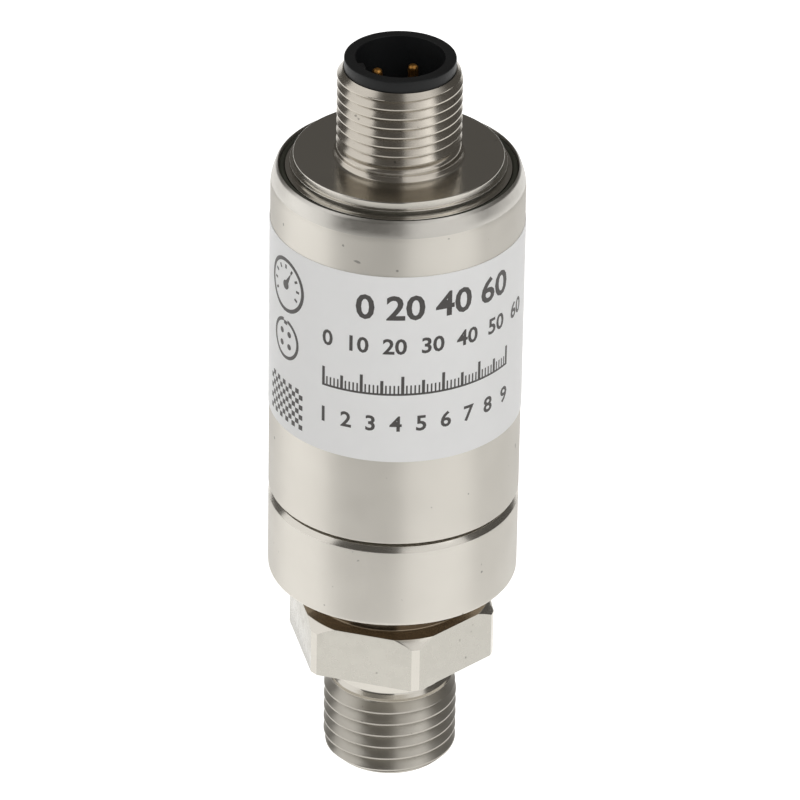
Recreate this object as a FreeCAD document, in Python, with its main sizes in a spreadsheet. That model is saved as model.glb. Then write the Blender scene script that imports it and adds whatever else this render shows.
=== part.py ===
"""Compact pressure transmitter with a G1/4 process port and a four-pole M12 plug connector.

The frame has its origin at the centre of the port's tip face, with +Z along the axis
towards the connector.  The front of the label faces -Y.  All lengths are in millimetres
and all angles in degrees.

Every driving size is one cell of the sheet "Dims".  Heights are stacked from the port's
tip, so a piece that seats on another takes its place from the same cells.
"""
import FreeCAD, Part

import os

import Sketcher

DIMENSIONS = (
    # Process port, turned and milled from one bar
    ("PortThreadRadius", 6.5785, "major radius of the G1/4 thread, drawn as a plain cylinder"),
    ("PortTipChamfer", 0.9785, "45 degree chamfer from the flat tip to the thread"),
    ("PortThreadLength", 7.77, "tip to the end of the thread"),
    ("ReliefDepth", 0.8785, "thread relief above the thread, below the major radius"),
    ("ReliefCornerRadius", 0.4, "fillet under the hexagon"),
    ("PortStemLength", 12.6, "tip to the underside of the hexagon"),
    ("InletRadius", 3.0, "pressure inlet bore"),
    ("InletChamfer", 0.3, "edge break at the inlet"),
    ("HexAcrossFlats", 18.6, "spanner size over the milled flats"),
    ("HexCornerTrim", 0.2787, "turned off the six sharp corners, on the radius"),
    ("HexHeight", 5.55, "underside to top of the hexagon"),
    ("HexTopChamferWidth", 0.76, "width of the top corner chamfer, on the radius"),
    ("HexTopChamfer", 0.85, "height of the top corner chamfer"),
    ("HexBottomChamfer", 0.3, "45 degree chamfer of the bottom corners"),
    ("HexSides", 6, "milled flats"),
    ("HexTurn", 14.3, "angle of the front corner from -Y towards +X"),
    ("NeckRadius", 8.0, "neck between the hexagon and the flange"),
    ("NeckHeight", 3.15, "height of the neck"),
    ("HousingRadius", 12.25, "outside radius of the flange and of the housing tube"),
    ("FlangeHeight", 8.87, "height of the flange, with its top chamfer"),
    ("FlangeEdgeRadius", 0.5, "rounded lower edge of the flange"),
    ("FlangeChamfer", 0.45, "45 degree chamfer round the top of the flange"),
    # Housing tube
    ("JointGap", 0.48, "open joint between the flange and the tube"),
    ("HousingLength", 35.25, "length of the tube"),
    ("HousingWall", 1.25, "wall of the tube"),
    ("HousingFootRadius", 0.25, "rounded lower outside edge"),
    ("SeatWall", 0.75, "wall left beside the counterbore, in which the end plate sits"),
    ("SealDepth", 0.85, "top of the tube to the seat of the rim seal"),
    ("RimRollHeight", 1.5, "height over which the top edge is rolled in"),
    ("RimLipWidth", 0.13, "flat lip left inside the rolled edge"),
    # Connector shell: end plate and M12 spigot in one piece
    ("PlateRimHeight", 2.55, "thick rim of the end plate, below the seal"),
    ("PlateRimWidth", 2.5, "width of that rim, round the recess in the underside"),
    ("PlateRecessDepth", 2.0, "depth of that recess"),
    ("RimSealSection", 0.62, "section of the seal between the tube and the plate"),
    ("LedgeHeight", 0.6, "seal seat to the top of the outer ledge"),
    ("LedgeWidth", 0.46, "width of the outer ledge"),
    ("StepHeight", 0.68, "height of the turned step above the ledge"),
    ("StepWidth", 0.3, "width of that step"),
    ("PlateTopHeight", 0.72, "step to the flat top"),
    ("PlateEdgeRadius", 0.15, "rounded edge of the flat top"),
    ("ConnectorThreadRadius", 6.0, "major radius of the M12 thread, drawn as a plain cylinder"),
    ("ConnectorFootRadius", 0.5, "fillet from the spigot to the plate"),
    ("ConnectorLength", 9.15, "flat top of the plate to the end of the spigot"),
    ("ConnectorEndChamfer", 0.55, "45 degree chamfer at the end of the spigot"),
    ("ConnectorWall", 1.1, "wall from the thread to the bore for the contact carrier"),
    # Contact carrier, moulded, with its key
    ("CollarSetback", 0.095, "end of the spigot to the collar that caps it, on the radius"),
    ("CollarHeight", 1.14, "height of the collar"),
    ("CollarEdgeRadius", 0.15, "rounded outer edge of the collar"),
    ("CarrierWall", 0.615, "wall of the carrier round the cavity"),
    ("CavityDepth", 8.84, "top of the collar to the cavity floor"),
    ("CarrierBlockHeight", 4.9, "solid block under the cavity floor"),
    ("KeyAngle", 195.7, "direction of the A-coding key"),
    ("KeyWidth", 1.2, "width of the key"),
    ("KeyReach", 0.8, "how far the key stands into the cavity"),
    ("KeyRecess", 0.5, "top of the collar to the top of the key"),
    ("CarrierSealSection", 0.85, "section of the carrier's seal ring"),
    ("CarrierGrooveOffset", 2.6, "bottom of the carrier to the seal groove"),
    ("SealSideRoom", 0.35, "spare width of a groove beside its ring"),
    ("CarrierVentRadius", 0.5, "vent bore through the middle of the carrier"),
    # Contacts
    ("PinCount", 4, "poles of the connector"),
    ("PinRadius", 0.5, "contact pin"),
    ("PinTipRadius", 0.35, "rounded tip of a contact pin"),
    ("PinCircleRadius", 2.5, "circle of the four contacts"),
    ("PinRecess", 2.0, "top of the collar to the pin tips"),
    ("TailRadius", 0.35, "solder tail of a contact"),
    ("TailShoulder", 0.5, "full thickness of the pin below the carrier"),
    ("TailStickOut", 0.5, "tail past its board"),
    ("SolderClearance", 0.06, "room round a pin in a board"),
    ("MembraneRadius", 1.75, "vent membrane"),
    ("MembraneThickness", 0.3, "vent membrane"),
    # Sensor capsule
    ("PocketFloor", 1.5, "metal between the underside of the flange and the capsule"),
    ("CapsuleRadius", 9.5, "oil-filled capsule"),
    ("CapsuleClearance", 0.05, "capsule in its pocket, on the radius"),
    ("CapsuleHeight", 11.5, "height of the capsule"),
    ("SensorSealSection", 1.45, "section of the capsule's seal ring"),
    ("CapsuleGrooveOffset", 3.4, "bottom of the capsule to the seal groove"),
    ("CapsuleRimWidth", 0.9, "rim of the capsule round the diaphragm's recess"),
    ("DiaphragmClearance", 0.1, "diaphragm in its recess, on the radius"),
    ("DiaphragmThickness", 0.1, "isolating diaphragm"),
    ("DiaphragmDepth", 0.5, "recess of the diaphragm above the capsule's rim"),
    ("WaveMargin", 1.2, "edge of the diaphragm to its corrugated field"),
    ("WaveInnerRadius", 2.5, "inside of the corrugated field"),
    ("WaveCount", 3, "corrugations"),
    ("WaveHeight", 0.16, "height of a corrugation"),
    ("OilGap", 0.35, "oil space behind the diaphragm"),
    ("WeldWidth", 0.9, "width on which the diaphragm is welded"),
    ("DieChamberRadius", 4.6, "chamber round the sensing element"),
    ("DieChamberHeight", 4.15, "oil space to the face of the header"),
    ("HeaderThickness", 3.0, "metal header with the glass seals"),
    ("CupWall", 2.0, "wall of the open cup above the header"),
    ("FillerWall", 0.65, "wall of the ceramic filler"),
    ("FillerHeight", 3.6, "height of the ceramic filler"),
    ("FillerClearance", 0.05, "filler in its chamber, on the radius"),
    ("PedestalWidth", 2.6, "glass pedestal of the sensing element"),
    ("PedestalHeight", 1.2, "glass pedestal"),
    ("DieWidth", 2.0, "silicon element"),
    ("DieHeight", 0.4, "silicon element"),
    ("VentTubeRadius", 0.6, "reference tube in the header"),
    ("VentTubeBore", 0.3, "bore radius of the reference tube"),
    ("VentTubeLength", 5.6, "face of the header to the open end of the tube"),
    ("HeaderPinCount", 8, "pins of the header"),
    ("HeaderPinRadius", 0.23, "pin of the header"),
    ("HeaderPinCircle", 3.1, "circle of the header pins"),
    ("HeaderPinReach", 0.8, "pin past the face of the header, in the oil"),
    ("GlassSealRadius", 0.65, "glass bead round a header pin"),
    ("FillBallRadius", 0.75, "ball pressed into the filling bore"),
    ("FillBoreRadius", 0.4, "filling bore below the ball"),
    ("FillBoreOffset", 6.1, "filling bore from the axis"),
    ("RetainerWidth", 3.15, "width of the retaining ring"),
    ("RetainerHeight", 2.0, "retaining ring"),
    ("RetainerRoom", 0.67, "retaining ring to the top of the port's spigot"),
    ("RetainerSlotWidth", 2.0, "spanner slot of the retaining ring"),
    ("RetainerSlotDepth", 1.0, "spanner slot of the retaining ring"),
    # Electronics
    ("BoardClearance", 0.1, "round boards and sleeve in the tube, on the radius"),
    ("RoundBoardThickness", 1.0, "compensation board and connector board"),
    ("BoardToPlate", 0.9, "connector board to the end plate"),
    ("SleeveWall", 0.35, "insulating sleeve"),
    ("MainBoardThickness", 1.6, "main board"),
    ("MainBoardRoom", 1.3, "edge of the main board to the sleeve"),
    ("TabOffset", 6.5, "axis to the middle of a tab"),
    ("TabHalfWidth", 1.5, "half the width of a tab"),
    ("SlotClearance", 0.08, "room round a tab in its slot"),
    ("NotchHalfWidth", 4.2, "notches that clear the soldered pins"),
    ("NotchHeight", 1.6, "notches that clear the soldered pins"),
    ("ProcessorWidth", 7.0, "signal processor"),
    ("ProcessorHeight", 1.0, "signal processor, off the board"),
    ("ProcessorLevel", 9.0, "lower edge of the main board to the processor"),
    ("CapacitorWidth", 1.6, "ceramic capacitor, across"),
    ("CapacitorLength", 3.2, "ceramic capacitor, along the board"),
    ("CapacitorHeight", 1.4, "ceramic capacitor, off the board"),
    ("CapacitorCount", 4, "ceramic capacitors in the row"),
    ("CapacitorPitch", 3.0, "spacing of the ceramic capacitors"),
    ("CapacitorLevel", 12.0, "lower edge of the main board to the row of capacitors"),
    ("DiodeLength", 2.6, "suppressor diode"),
    ("DiodeWidth", 1.4, "suppressor diode"),
    ("DiodeHeight", 0.75, "suppressor diode, above the board"),
    ("DiodeOffset", 6.0, "axis to a suppressor diode"),
    # Label
    ("LabelThickness", 0.08, "printed film"),
    ("LabelHeight", 20.25, "height of the film"),
    ("LabelLevel", 9.3, "lower end of the tube to the film"),
    ("LabelGap", 6.97, "bare stretch at the back, between the ends of the film"),
)

doc = FreeCAD.newDocument("PressureTransmitter")
dims = doc.addObject("Spreadsheet::Sheet", "Dims")
for row, (alias, number, meaning) in enumerate(DIMENSIONS, start=1):
    dims.set(f"A{row}", alias)
    dims.set(f"B{row}", str(number))
    dims.set(f"C{row}", meaning)
    dims.setAlias(f"B{row}", alias)
doc.recompute()

# Levels above the port's tip, as expressions over the sheet
HEX_BASE = "Dims.PortStemLength"
HEX_TOP = f"({HEX_BASE} + Dims.HexHeight)"
FLANGE_BASE = f"({HEX_TOP} + Dims.NeckHeight)"
FLANGE_TOP = f"({FLANGE_BASE} + Dims.FlangeHeight)"
TUBE_BASE = f"({FLANGE_TOP} + Dims.JointGap)"
TUBE_TOP = f"({TUBE_BASE} + Dims.HousingLength)"
SEAL_SEAT = f"({TUBE_TOP} - Dims.SealDepth)"
PLATE_BASE = f"({SEAL_SEAT} - Dims.PlateRimHeight)"
LEDGE_TOP = f"({SEAL_SEAT} + Dims.LedgeHeight)"
STEP_TOP = f"({LEDGE_TOP} + Dims.StepHeight)"
PLATE_TOP = f"({STEP_TOP} + Dims.PlateTopHeight)"
SHELL_TOP = f"({PLATE_TOP} + Dims.ConnectorLength)"
CARRIER_TOP = f"({SHELL_TOP} + Dims.CollarHeight)"
CAVITY_FLOOR = f"({CARRIER_TOP} - Dims.CavityDepth)"
CARRIER_BASE = f"({CAVITY_FLOOR} - Dims.CarrierBlockHeight)"
CARRIER_GROOVE = f"({CARRIER_BASE} + Dims.CarrierGrooveOffset)"
CAPSULE_BASE = f"({FLANGE_BASE} + Dims.PocketFloor)"
CAPSULE_TOP = f"({CAPSULE_BASE} + Dims.CapsuleHeight)"
CAPSULE_GROOVE = f"({CAPSULE_BASE} + Dims.CapsuleGrooveOffset)"
DIAPHRAGM_SEAT = f"({CAPSULE_BASE} + Dims.DiaphragmDepth)"
OIL_TOP = f"({DIAPHRAGM_SEAT} + Dims.OilGap)"
HEADER_FACE = f"({OIL_TOP} + Dims.DieChamberHeight)"
HEADER_TOP = f"({HEADER_FACE} + Dims.HeaderThickness)"
RETAINER_TOP = f"({CAPSULE_TOP} + Dims.RetainerHeight)"
PORT_TOP = f"({RETAINER_TOP} + Dims.RetainerRoom)"
LOWER_BOARD_TOP = f"({PORT_TOP} + Dims.RoundBoardThickness)"
UPPER_BOARD_TOP = f"({PLATE_BASE} - Dims.BoardToPlate)"
UPPER_BOARD_BASE = f"({UPPER_BOARD_TOP} - Dims.RoundBoardThickness)"

# Radii that mating pieces share
PORT_TIP = "(Dims.PortThreadRadius - Dims.PortTipChamfer)"
RELIEF = "(Dims.PortThreadRadius - Dims.ReliefDepth)"
HEX_CORNER = "(Dims.HexAcrossFlats / sqrt(3) - Dims.HexCornerTrim)"
TUBE_BORE = "(Dims.HousingRadius - Dims.HousingWall)"
SEAT = "(Dims.HousingRadius - Dims.SeatWall)"
LEDGE = f"({SEAT} - Dims.RimSealSection)"
STEP = f"({LEDGE} - Dims.LedgeWidth)"
PLATE_EDGE = f"({STEP} - Dims.StepWidth)"
SPIGOT_END = "(Dims.ConnectorThreadRadius - Dims.ConnectorEndChamfer)"
CONNECTOR_BORE = "(Dims.ConnectorThreadRadius - Dims.ConnectorWall)"
COLLAR = f"({SPIGOT_END} - Dims.CollarSetback)"
CAVITY = f"({CONNECTOR_BORE} - Dims.CarrierWall)"
CARRIER_GROOVE_FLOOR = f"({CONNECTOR_BORE} - Dims.CarrierSealSection)"
POCKET = "(Dims.CapsuleRadius + Dims.CapsuleClearance)"
CAPSULE_GROOVE_FLOOR = f"({POCKET} - Dims.SensorSealSection)"
RECESS = "(Dims.CapsuleRadius - Dims.CapsuleRimWidth)"
DIAPHRAGM = f"({RECESS} - Dims.DiaphragmClearance)"
FILLER = "(Dims.DieChamberRadius - Dims.FillerClearance)"
BOARD_RADIUS = f"({TUBE_BORE} - Dims.BoardClearance)"
SLEEVE_BORE = f"({BOARD_RADIUS} - Dims.SleeveWall)"

subparts = []


def size(expression):
    """The number that an expression over the sheet gives."""
    return float(dims.evalExpression(expression))


def new_body(label):
    """An empty body whose label is the name of the sub-part."""
    body = doc.addObject("PartDesign::Body", label)
    body.Label = label
    subparts.append(body)
    return body


def turn(piece, angle):
    """Turn a sub-part about the axis of the transmitter."""
    piece.setExpression("Placement.Rotation.Angle", angle)


def new_sketch(body, name, plane, level=None):
    """A sketch on one of the body's own origin planes, raised to a level where one is given."""
    support = next(item for item in body.Origin.OriginFeatures if item.Role == plane)
    sketch = body.newObject("Sketcher::SketchObject", f"{body.Label}_{name}")
    sketch.AttachmentSupport = (support, [""])
    sketch.MapMode = "FlatFace"
    if level:
        sketch.setExpression("AttachmentOffset.Base.z", level)
    return sketch


def drive(sketch, kind, elements, expression):
    """A dimension of the sketch that follows the sheet."""
    index = sketch.addConstraint(Sketcher.Constraint(kind, *elements, size(expression)))
    label = f"{kind}_{index}"
    sketch.renameConstraint(index, label)
    sketch.setExpression(f"Constraints.{label}", expression)


def place_point(sketch, geometry, end, across, up):
    """Fix one end point by its two distances from the sketch's origin."""
    drive(sketch, "DistanceX", (-1, 1, geometry, end), across)
    drive(sketch, "DistanceY", (-1, 1, geometry, end), up)


def tangent_arc(before, start, end):
    """The arc from start to end that leaves the line before-start without a corner."""
    along = (start - before).normalize()
    side = FreeCAD.Vector(-along.y, along.x, 0)
    chord = end - start
    radius = chord.dot(chord) / (2 * chord.dot(side))
    centre = start + side * radius
    middle = ((start - centre) + (end - centre)).normalize() * abs(radius)
    return Part.Arc(start, centre + middle, end)


def outline(body, name, plane, corners, level=None):
    """A closed outline through corners, each an (across, up) pair of expressions.

    A corner with a third item ends a stretch that is an arc, tangent to the line before it.
    """
    sketch = new_sketch(body, name, plane, level)
    points = [FreeCAD.Vector(size(corner[0]), size(corner[1]), 0) for corner in corners]
    ends = []
    for index, start in enumerate(points):
        after = (index + 1) % len(points)
        rounded = len(corners[after]) == 3
        if rounded:
            sketch.addGeometry(tangent_arc(points[index - 1], start, points[after]), False)
        else:
            sketch.addGeometry(Part.LineSegment(start, points[after]), False)
        forward = sketch.getPoint(index, 1).distanceToPoint(start) < 1e-6
        ends.append((1, 2, rounded) if forward else (2, 1, rounded))
    for index, (first, _, rounded) in enumerate(ends):
        before = (index - 1) % len(ends)
        kind = "Tangent" if rounded else "Coincident"
        sketch.addConstraint(Sketcher.Constraint(kind, before, ends[before][1], index, first))
        place_point(sketch, index, first, *corners[index][:2])
    return sketch


def discs(body, name, plane, circles, level=None):
    """Circles, each given as (across, up, radius) expressions."""
    sketch = new_sketch(body, name, plane, level)
    for index, (across, up, radius) in enumerate(circles):
        centre = FreeCAD.Vector(size(across), size(up), 0)
        upright = FreeCAD.Vector(0, 0, 1)
        sketch.addGeometry(Part.Circle(centre, upright, size(radius)), False)
        place_point(sketch, index, 3, across, up)
        drive(sketch, "Radius", (index,), radius)
    return sketch


def revolve(body, name, sketch, kind="PartDesign::Revolution"):
    """Spin a sketch once round the axis, to add material, or to cut it as a Groove."""
    feature = body.newObject(kind, f"{body.Label}_{name}")
    feature.Profile = (sketch, [""])
    feature.ReferenceAxis = (sketch, ["V_Axis"])
    feature.Angle = 360
    return feature


def extrude(body, name, sketch, length, kind="PartDesign::Pad", upward=True, both_ways=False):
    """Pad or pocket a sketch over a length, along +Z unless it is drawn on another plane."""
    feature = body.newObject(kind, f"{body.Label}_{name}")
    feature.Profile = (sketch, [""])
    feature.Midplane = both_ways
    cuts = kind == "PartDesign::Pocket"
    feature.Reversed = cuts == upward
    feature.setExpression("Length", length)
    return feature


def repeat_round(body, name, feature, count):
    """Repeat a feature evenly round the axis."""
    pattern = body.newObject("PartDesign::PolarPattern", f"{body.Label}_{name}")
    pattern.Originals = [feature]
    pattern.Axis = (feature.Profile[0], ["N_Axis"])
    pattern.Angle = 360
    pattern.setExpression("Occurrences", count)
    body.Tip = pattern
    return pattern


def round_edges(body, name, radius, places):
    """Fillet the circular edges that lie at (radius, level) places about the axis."""
    doc.recompute()
    base = body.Tip
    wanted = [(size(across), size(up)) for across, up in places]
    edges = []
    for number, edge in enumerate(base.Shape.Edges, start=1):
        if isinstance(edge.Curve, Part.Circle):
            found = (edge.Curve.Radius, edge.Curve.Center.z)
            if any(max(abs(found[0] - across), abs(found[1] - up)) < 1e-4 for across, up in wanted):
                edges.append(f"Edge{number}")
    if len(edges) < len(places):
        raise RuntimeError(f"{body.Label}: an edge to round was not found")
    fillet = body.newObject("PartDesign::Fillet", f"{body.Label}_{name}")
    fillet.Base = (base, edges)
    fillet.setExpression("Radius", radius)
    return fillet


def turned(label, corners):
    """A body turned from one closed outline in the XZ plane."""
    body = new_body(label)
    revolve(body, "turning", outline(body, "profile", "XZ_Plane", corners))
    return body


def ring_seal(label, inner, section, seat):
    """A round ring that fills the gap of width section, resting on the level seat."""
    body = new_body(label)
    circle = (f"{inner} + {section} / 2", f"{seat} + {section} / 2", f"{section} / 2")
    revolve(body, "turning", discs(body, "section", "XZ_Plane", [circle]))
    return body


def block(label, length, width, height, corner, angle=None):
    """A plain block with one corner at three expressions, in a frame turned about Z."""
    box = doc.addObject("Part::Box", label)
    box.Label = label
    for side, expression in (("Length", length), ("Width", width), ("Height", height)):
        box.setExpression(side, expression)
    across, deep, up = corner
    if angle:
        turn(box, angle)
        along, beside = f"cos({angle})", f"sin({angle})"
        across, deep = (f"({across}) * {along} - ({deep}) * {beside}",
                        f"({across}) * {beside} + ({deep}) * {along}")
    for axis, expression in zip("xyz", (across, deep, up)):
        box.setExpression(f"Placement.Base.{axis}", expression)
    return box


def port_body():
    """Process connection: tip, thread, relief, hexagon, neck, flange and spigot in one piece."""
    body = turned("port_body", [
        ("0", "0"),
        (PORT_TIP, "0"),
        ("Dims.PortThreadRadius", "Dims.PortTipChamfer"),
        ("Dims.PortThreadRadius", "Dims.PortThreadLength"),
        (RELIEF, "Dims.PortThreadLength + Dims.ReliefDepth"),
        (RELIEF, HEX_BASE),
        (f"{HEX_CORNER} - Dims.HexBottomChamfer", HEX_BASE),
        (HEX_CORNER, f"{HEX_BASE} + Dims.HexBottomChamfer"),
        (HEX_CORNER, f"{HEX_TOP} - Dims.HexTopChamfer"),
        (f"{HEX_CORNER} - Dims.HexTopChamferWidth", HEX_TOP),
        ("Dims.NeckRadius", HEX_TOP),
        ("Dims.NeckRadius", FLANGE_BASE),
        ("Dims.HousingRadius", FLANGE_BASE),
        ("Dims.HousingRadius", f"{FLANGE_TOP} - Dims.FlangeChamfer"),
        ("Dims.HousingRadius - Dims.FlangeChamfer", FLANGE_TOP),
        (TUBE_BORE, FLANGE_TOP),
        (TUBE_BORE, PORT_TOP),
        ("0", PORT_TOP),
    ])
    half_flats = "Dims.HexAcrossFlats / 2"
    beyond = f"({HEX_CORNER} + Dims.HexBottomChamfer)"
    flat = outline(body, "flat", "XY_Plane", [
        (half_flats, f"-{beyond}"),
        (beyond, f"-{beyond}"),
        (beyond, beyond),
        (half_flats, beyond),
    ], HEX_BASE)
    milled = extrude(body, "milled_flat", flat, "Dims.HexHeight", "PartDesign::Pocket")
    repeat_round(body, "hexagon", milled, "Dims.HexSides")
    bores = outline(body, "bore_profile", "XZ_Plane", [
        ("0", "0"),
        ("Dims.InletRadius + Dims.InletChamfer", "0"),
        ("Dims.InletRadius", "Dims.InletChamfer"),
        ("Dims.InletRadius", CAPSULE_BASE),
        (POCKET, CAPSULE_BASE),
        (POCKET, PORT_TOP),
        ("0", PORT_TOP),
    ])
    revolve(body, "bores", bores, "PartDesign::Groove")
    round_edges(body, "flange_edge", "Dims.FlangeEdgeRadius", [("Dims.HousingRadius", FLANGE_BASE)])
    round_edges(body, "relief_corner", "Dims.ReliefCornerRadius", [(RELIEF, HEX_BASE)])
    turn(body, "Dims.HexTurn - 60")


def housing_tube():
    """Thin tube over the port's spigot, counterbored and rolled in round the end plate."""
    body = turned("housing_tube", [
        (TUBE_BORE, TUBE_BASE),
        ("Dims.HousingRadius", TUBE_BASE),
        ("Dims.HousingRadius", f"{TUBE_TOP} - Dims.RimRollHeight"),
        (f"{SEAT} + Dims.RimLipWidth", TUBE_TOP, "arc"),
        (SEAT, TUBE_TOP),
        (SEAT, PLATE_BASE),
        (TUBE_BORE, PLATE_BASE),
    ])
    round_edges(body, "foot_edge", "Dims.HousingFootRadius", [("Dims.HousingRadius", TUBE_BASE)])


def connector_shell():
    """End plate and M12 spigot, turned in one piece, with a bore for the contact carrier."""
    rim, recess = f"{SEAT} - Dims.PlateRimWidth", f"{PLATE_BASE} + Dims.PlateRecessDepth"
    body = turned("connector_shell", [
        (rim, PLATE_BASE),
        (SEAT, PLATE_BASE),
        (SEAT, SEAL_SEAT),
        (LEDGE, SEAL_SEAT),
        (LEDGE, LEDGE_TOP),
        (STEP, LEDGE_TOP),
        (STEP, STEP_TOP),
        (PLATE_EDGE, STEP_TOP),
        (PLATE_EDGE, PLATE_TOP),
        ("Dims.ConnectorThreadRadius", PLATE_TOP),
        ("Dims.ConnectorThreadRadius", f"{SHELL_TOP} - Dims.ConnectorEndChamfer"),
        (SPIGOT_END, SHELL_TOP),
        (CONNECTOR_BORE, SHELL_TOP),
        (CONNECTOR_BORE, recess),
        (rim, recess),
    ])
    round_edges(body, "spigot_foot", "Dims.ConnectorFootRadius",
                [("Dims.ConnectorThreadRadius", PLATE_TOP)])
    round_edges(body, "plate_edge", "Dims.PlateEdgeRadius", [(PLATE_EDGE, PLATE_TOP)])


def contact_carrier():
    """Moulded insert: collar, keyed cavity, and a block that the contacts pass through."""
    groove_top = f"{CARRIER_GROOVE} + Dims.CarrierSealSection + Dims.SealSideRoom"
    body = turned("contact_carrier", [
        ("0", CARRIER_BASE),
        (CONNECTOR_BORE, CARRIER_BASE),
        (CONNECTOR_BORE, CARRIER_GROOVE),
        (CARRIER_GROOVE_FLOOR, CARRIER_GROOVE),
        (CARRIER_GROOVE_FLOOR, groove_top),
        (CONNECTOR_BORE, groove_top),
        (CONNECTOR_BORE, SHELL_TOP),
        (COLLAR, SHELL_TOP),
        (COLLAR, CARRIER_TOP),
        (CAVITY, CARRIER_TOP),
        (CAVITY, CAVITY_FLOOR),
        ("0", CAVITY_FLOOR),
    ])
    round_edges(body, "collar_edge", "Dims.CollarEdgeRadius", [(COLLAR, CARRIER_TOP)])
    wall_middle = f"{CAVITY} + Dims.CarrierWall / 2"
    key = outline(body, "key_section", "XY_Plane", [
        (f"{CAVITY} - Dims.KeyReach", "-Dims.KeyWidth / 2"),
        (wall_middle, "-Dims.KeyWidth / 2"),
        (wall_middle, "Dims.KeyWidth / 2"),
        (f"{CAVITY} - Dims.KeyReach", "Dims.KeyWidth / 2"),
    ], CAVITY_FLOOR)
    extrude(body, "key", key, "Dims.CavityDepth - Dims.KeyRecess")
    across = "Dims.PinCircleRadius * cos(45)"
    hole = discs(body, "pin_hole_circle", "XY_Plane",
                 [(across, across, "Dims.PinRadius")], CARRIER_BASE)
    drilled = extrude(body, "pin_hole", hole, "Dims.CarrierBlockHeight", "PartDesign::Pocket")
    repeat_round(body, "pin_holes", drilled, "Dims.PinCount")
    vent = discs(body, "vent_circle", "XY_Plane", [("0", "0", "Dims.CarrierVentRadius")], CARRIER_BASE)
    extrude(body, "vent", vent, "Dims.CarrierBlockHeight", "PartDesign::Pocket")
    turn(body, "Dims.KeyAngle")


def contact_pin(number):
    """One contact: a round-nosed pin with a thinner solder tail.  Pin 1 follows the key clockwise."""
    shoulder = f"{CARRIER_BASE} - Dims.TailShoulder"
    tip = f"{CARRIER_TOP} - Dims.PinRecess"
    tail = f"{UPPER_BOARD_BASE} - Dims.TailStickOut"
    body = turned(f"contact_pin_{number}", [
        ("0", tail),
        ("Dims.TailRadius", tail),
        ("Dims.TailRadius", shoulder),
        ("Dims.PinRadius", shoulder),
        ("Dims.PinRadius", f"{tip} - Dims.PinTipRadius"),
        ("Dims.PinRadius - Dims.PinTipRadius", tip, "arc"),
        ("0", tip),
    ])
    angle = f"(Dims.KeyAngle + 360 / Dims.PinCount * {number - 1} - 45)"
    body.setExpression("Placement.Base.x", f"Dims.PinCircleRadius * cos({angle})")
    body.setExpression("Placement.Base.y", f"Dims.PinCircleRadius * sin({angle})")


def vent_membrane():
    """Breathing disc over the carrier's vent bore, which gives the sensor its reference air."""
    base = f"{CARRIER_BASE} - Dims.MembraneThickness"
    turned("vent_membrane", [
        ("0", base),
        ("Dims.MembraneRadius", base),
        ("Dims.MembraneRadius", CARRIER_BASE),
        ("0", CARRIER_BASE),
    ])


def capsule_body():
    """Stainless capsule: diaphragm seat, oil space, header with its bores, open cup above."""
    groove_top = f"{CAPSULE_GROOVE} + Dims.SensorSealSection + Dims.SealSideRoom"
    cup = "Dims.CapsuleRadius - Dims.CupWall"
    oil_space = f"{DIAPHRAGM} - Dims.WeldWidth"
    body = turned("capsule_body", [
        (RECESS, CAPSULE_BASE),
        ("Dims.CapsuleRadius", CAPSULE_BASE),
        ("Dims.CapsuleRadius", CAPSULE_GROOVE),
        (CAPSULE_GROOVE_FLOOR, CAPSULE_GROOVE),
        (CAPSULE_GROOVE_FLOOR, groove_top),
        ("Dims.CapsuleRadius", groove_top),
        ("Dims.CapsuleRadius", CAPSULE_TOP),
        (cup, CAPSULE_TOP),
        (cup, HEADER_TOP),
        ("Dims.VentTubeRadius", HEADER_TOP),
        ("Dims.VentTubeRadius", HEADER_FACE),
        ("Dims.DieChamberRadius", HEADER_FACE),
        ("Dims.DieChamberRadius", OIL_TOP),
        (oil_space, OIL_TOP),
        (oil_space, DIAPHRAGM_SEAT),
        (RECESS, DIAPHRAGM_SEAT),
    ])
    bead = discs(body, "bead_circle", "XY_Plane",
                 [("Dims.HeaderPinCircle", "0", "Dims.GlassSealRadius")], HEADER_FACE)
    drilled = extrude(body, "bead_hole", bead, "Dims.HeaderThickness", "PartDesign::Pocket")
    repeat_round(body, "bead_holes", drilled, "Dims.HeaderPinCount")
    fill = discs(body, "fill_circle", "XY_Plane",
                 [("Dims.FillBoreOffset", "0", "Dims.FillBoreRadius")], OIL_TOP)
    extrude(body, "fill_bore", fill, f"{HEADER_TOP} - {OIL_TOP}", "PartDesign::Pocket")
    seat = discs(body, "ball_circle", "XY_Plane",
                 [("Dims.FillBoreOffset", "0", "Dims.FillBallRadius")], HEADER_TOP)
    extrude(body, "ball_seat", seat, "2 * Dims.FillBallRadius", "PartDesign::Pocket", upward=False)
    turn(body, "Dims.KeyAngle")


def isolating_diaphragm():
    """Thin corrugated disc, flat at its welded edge and in the middle."""
    under = f"{DIAPHRAGM_SEAT} - Dims.DiaphragmThickness"
    slopes = 2 * round(size("Dims.WaveCount"))
    outside = f"({DIAPHRAGM} - Dims.WaveMargin)"
    slope = f"({outside} - Dims.WaveInnerRadius) / {slopes}"
    radii = [f"{outside} - {step} * {slope}" for step in range(slopes + 1)]
    lower = [(radius, f"{under} + {step % 2} * Dims.WaveHeight") for step, radius in enumerate(radii)]
    upper = [(radius, f"{level} + Dims.DiaphragmThickness") for radius, level in reversed(lower)]
    turned("isolating_diaphragm", [
        ("0", f"{under}"),
        *reversed(lower),
        (DIAPHRAGM, f"{under}"),
        (DIAPHRAGM, DIAPHRAGM_SEAT),
        *reversed(upper),
        ("0", DIAPHRAGM_SEAT),
    ])


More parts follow.
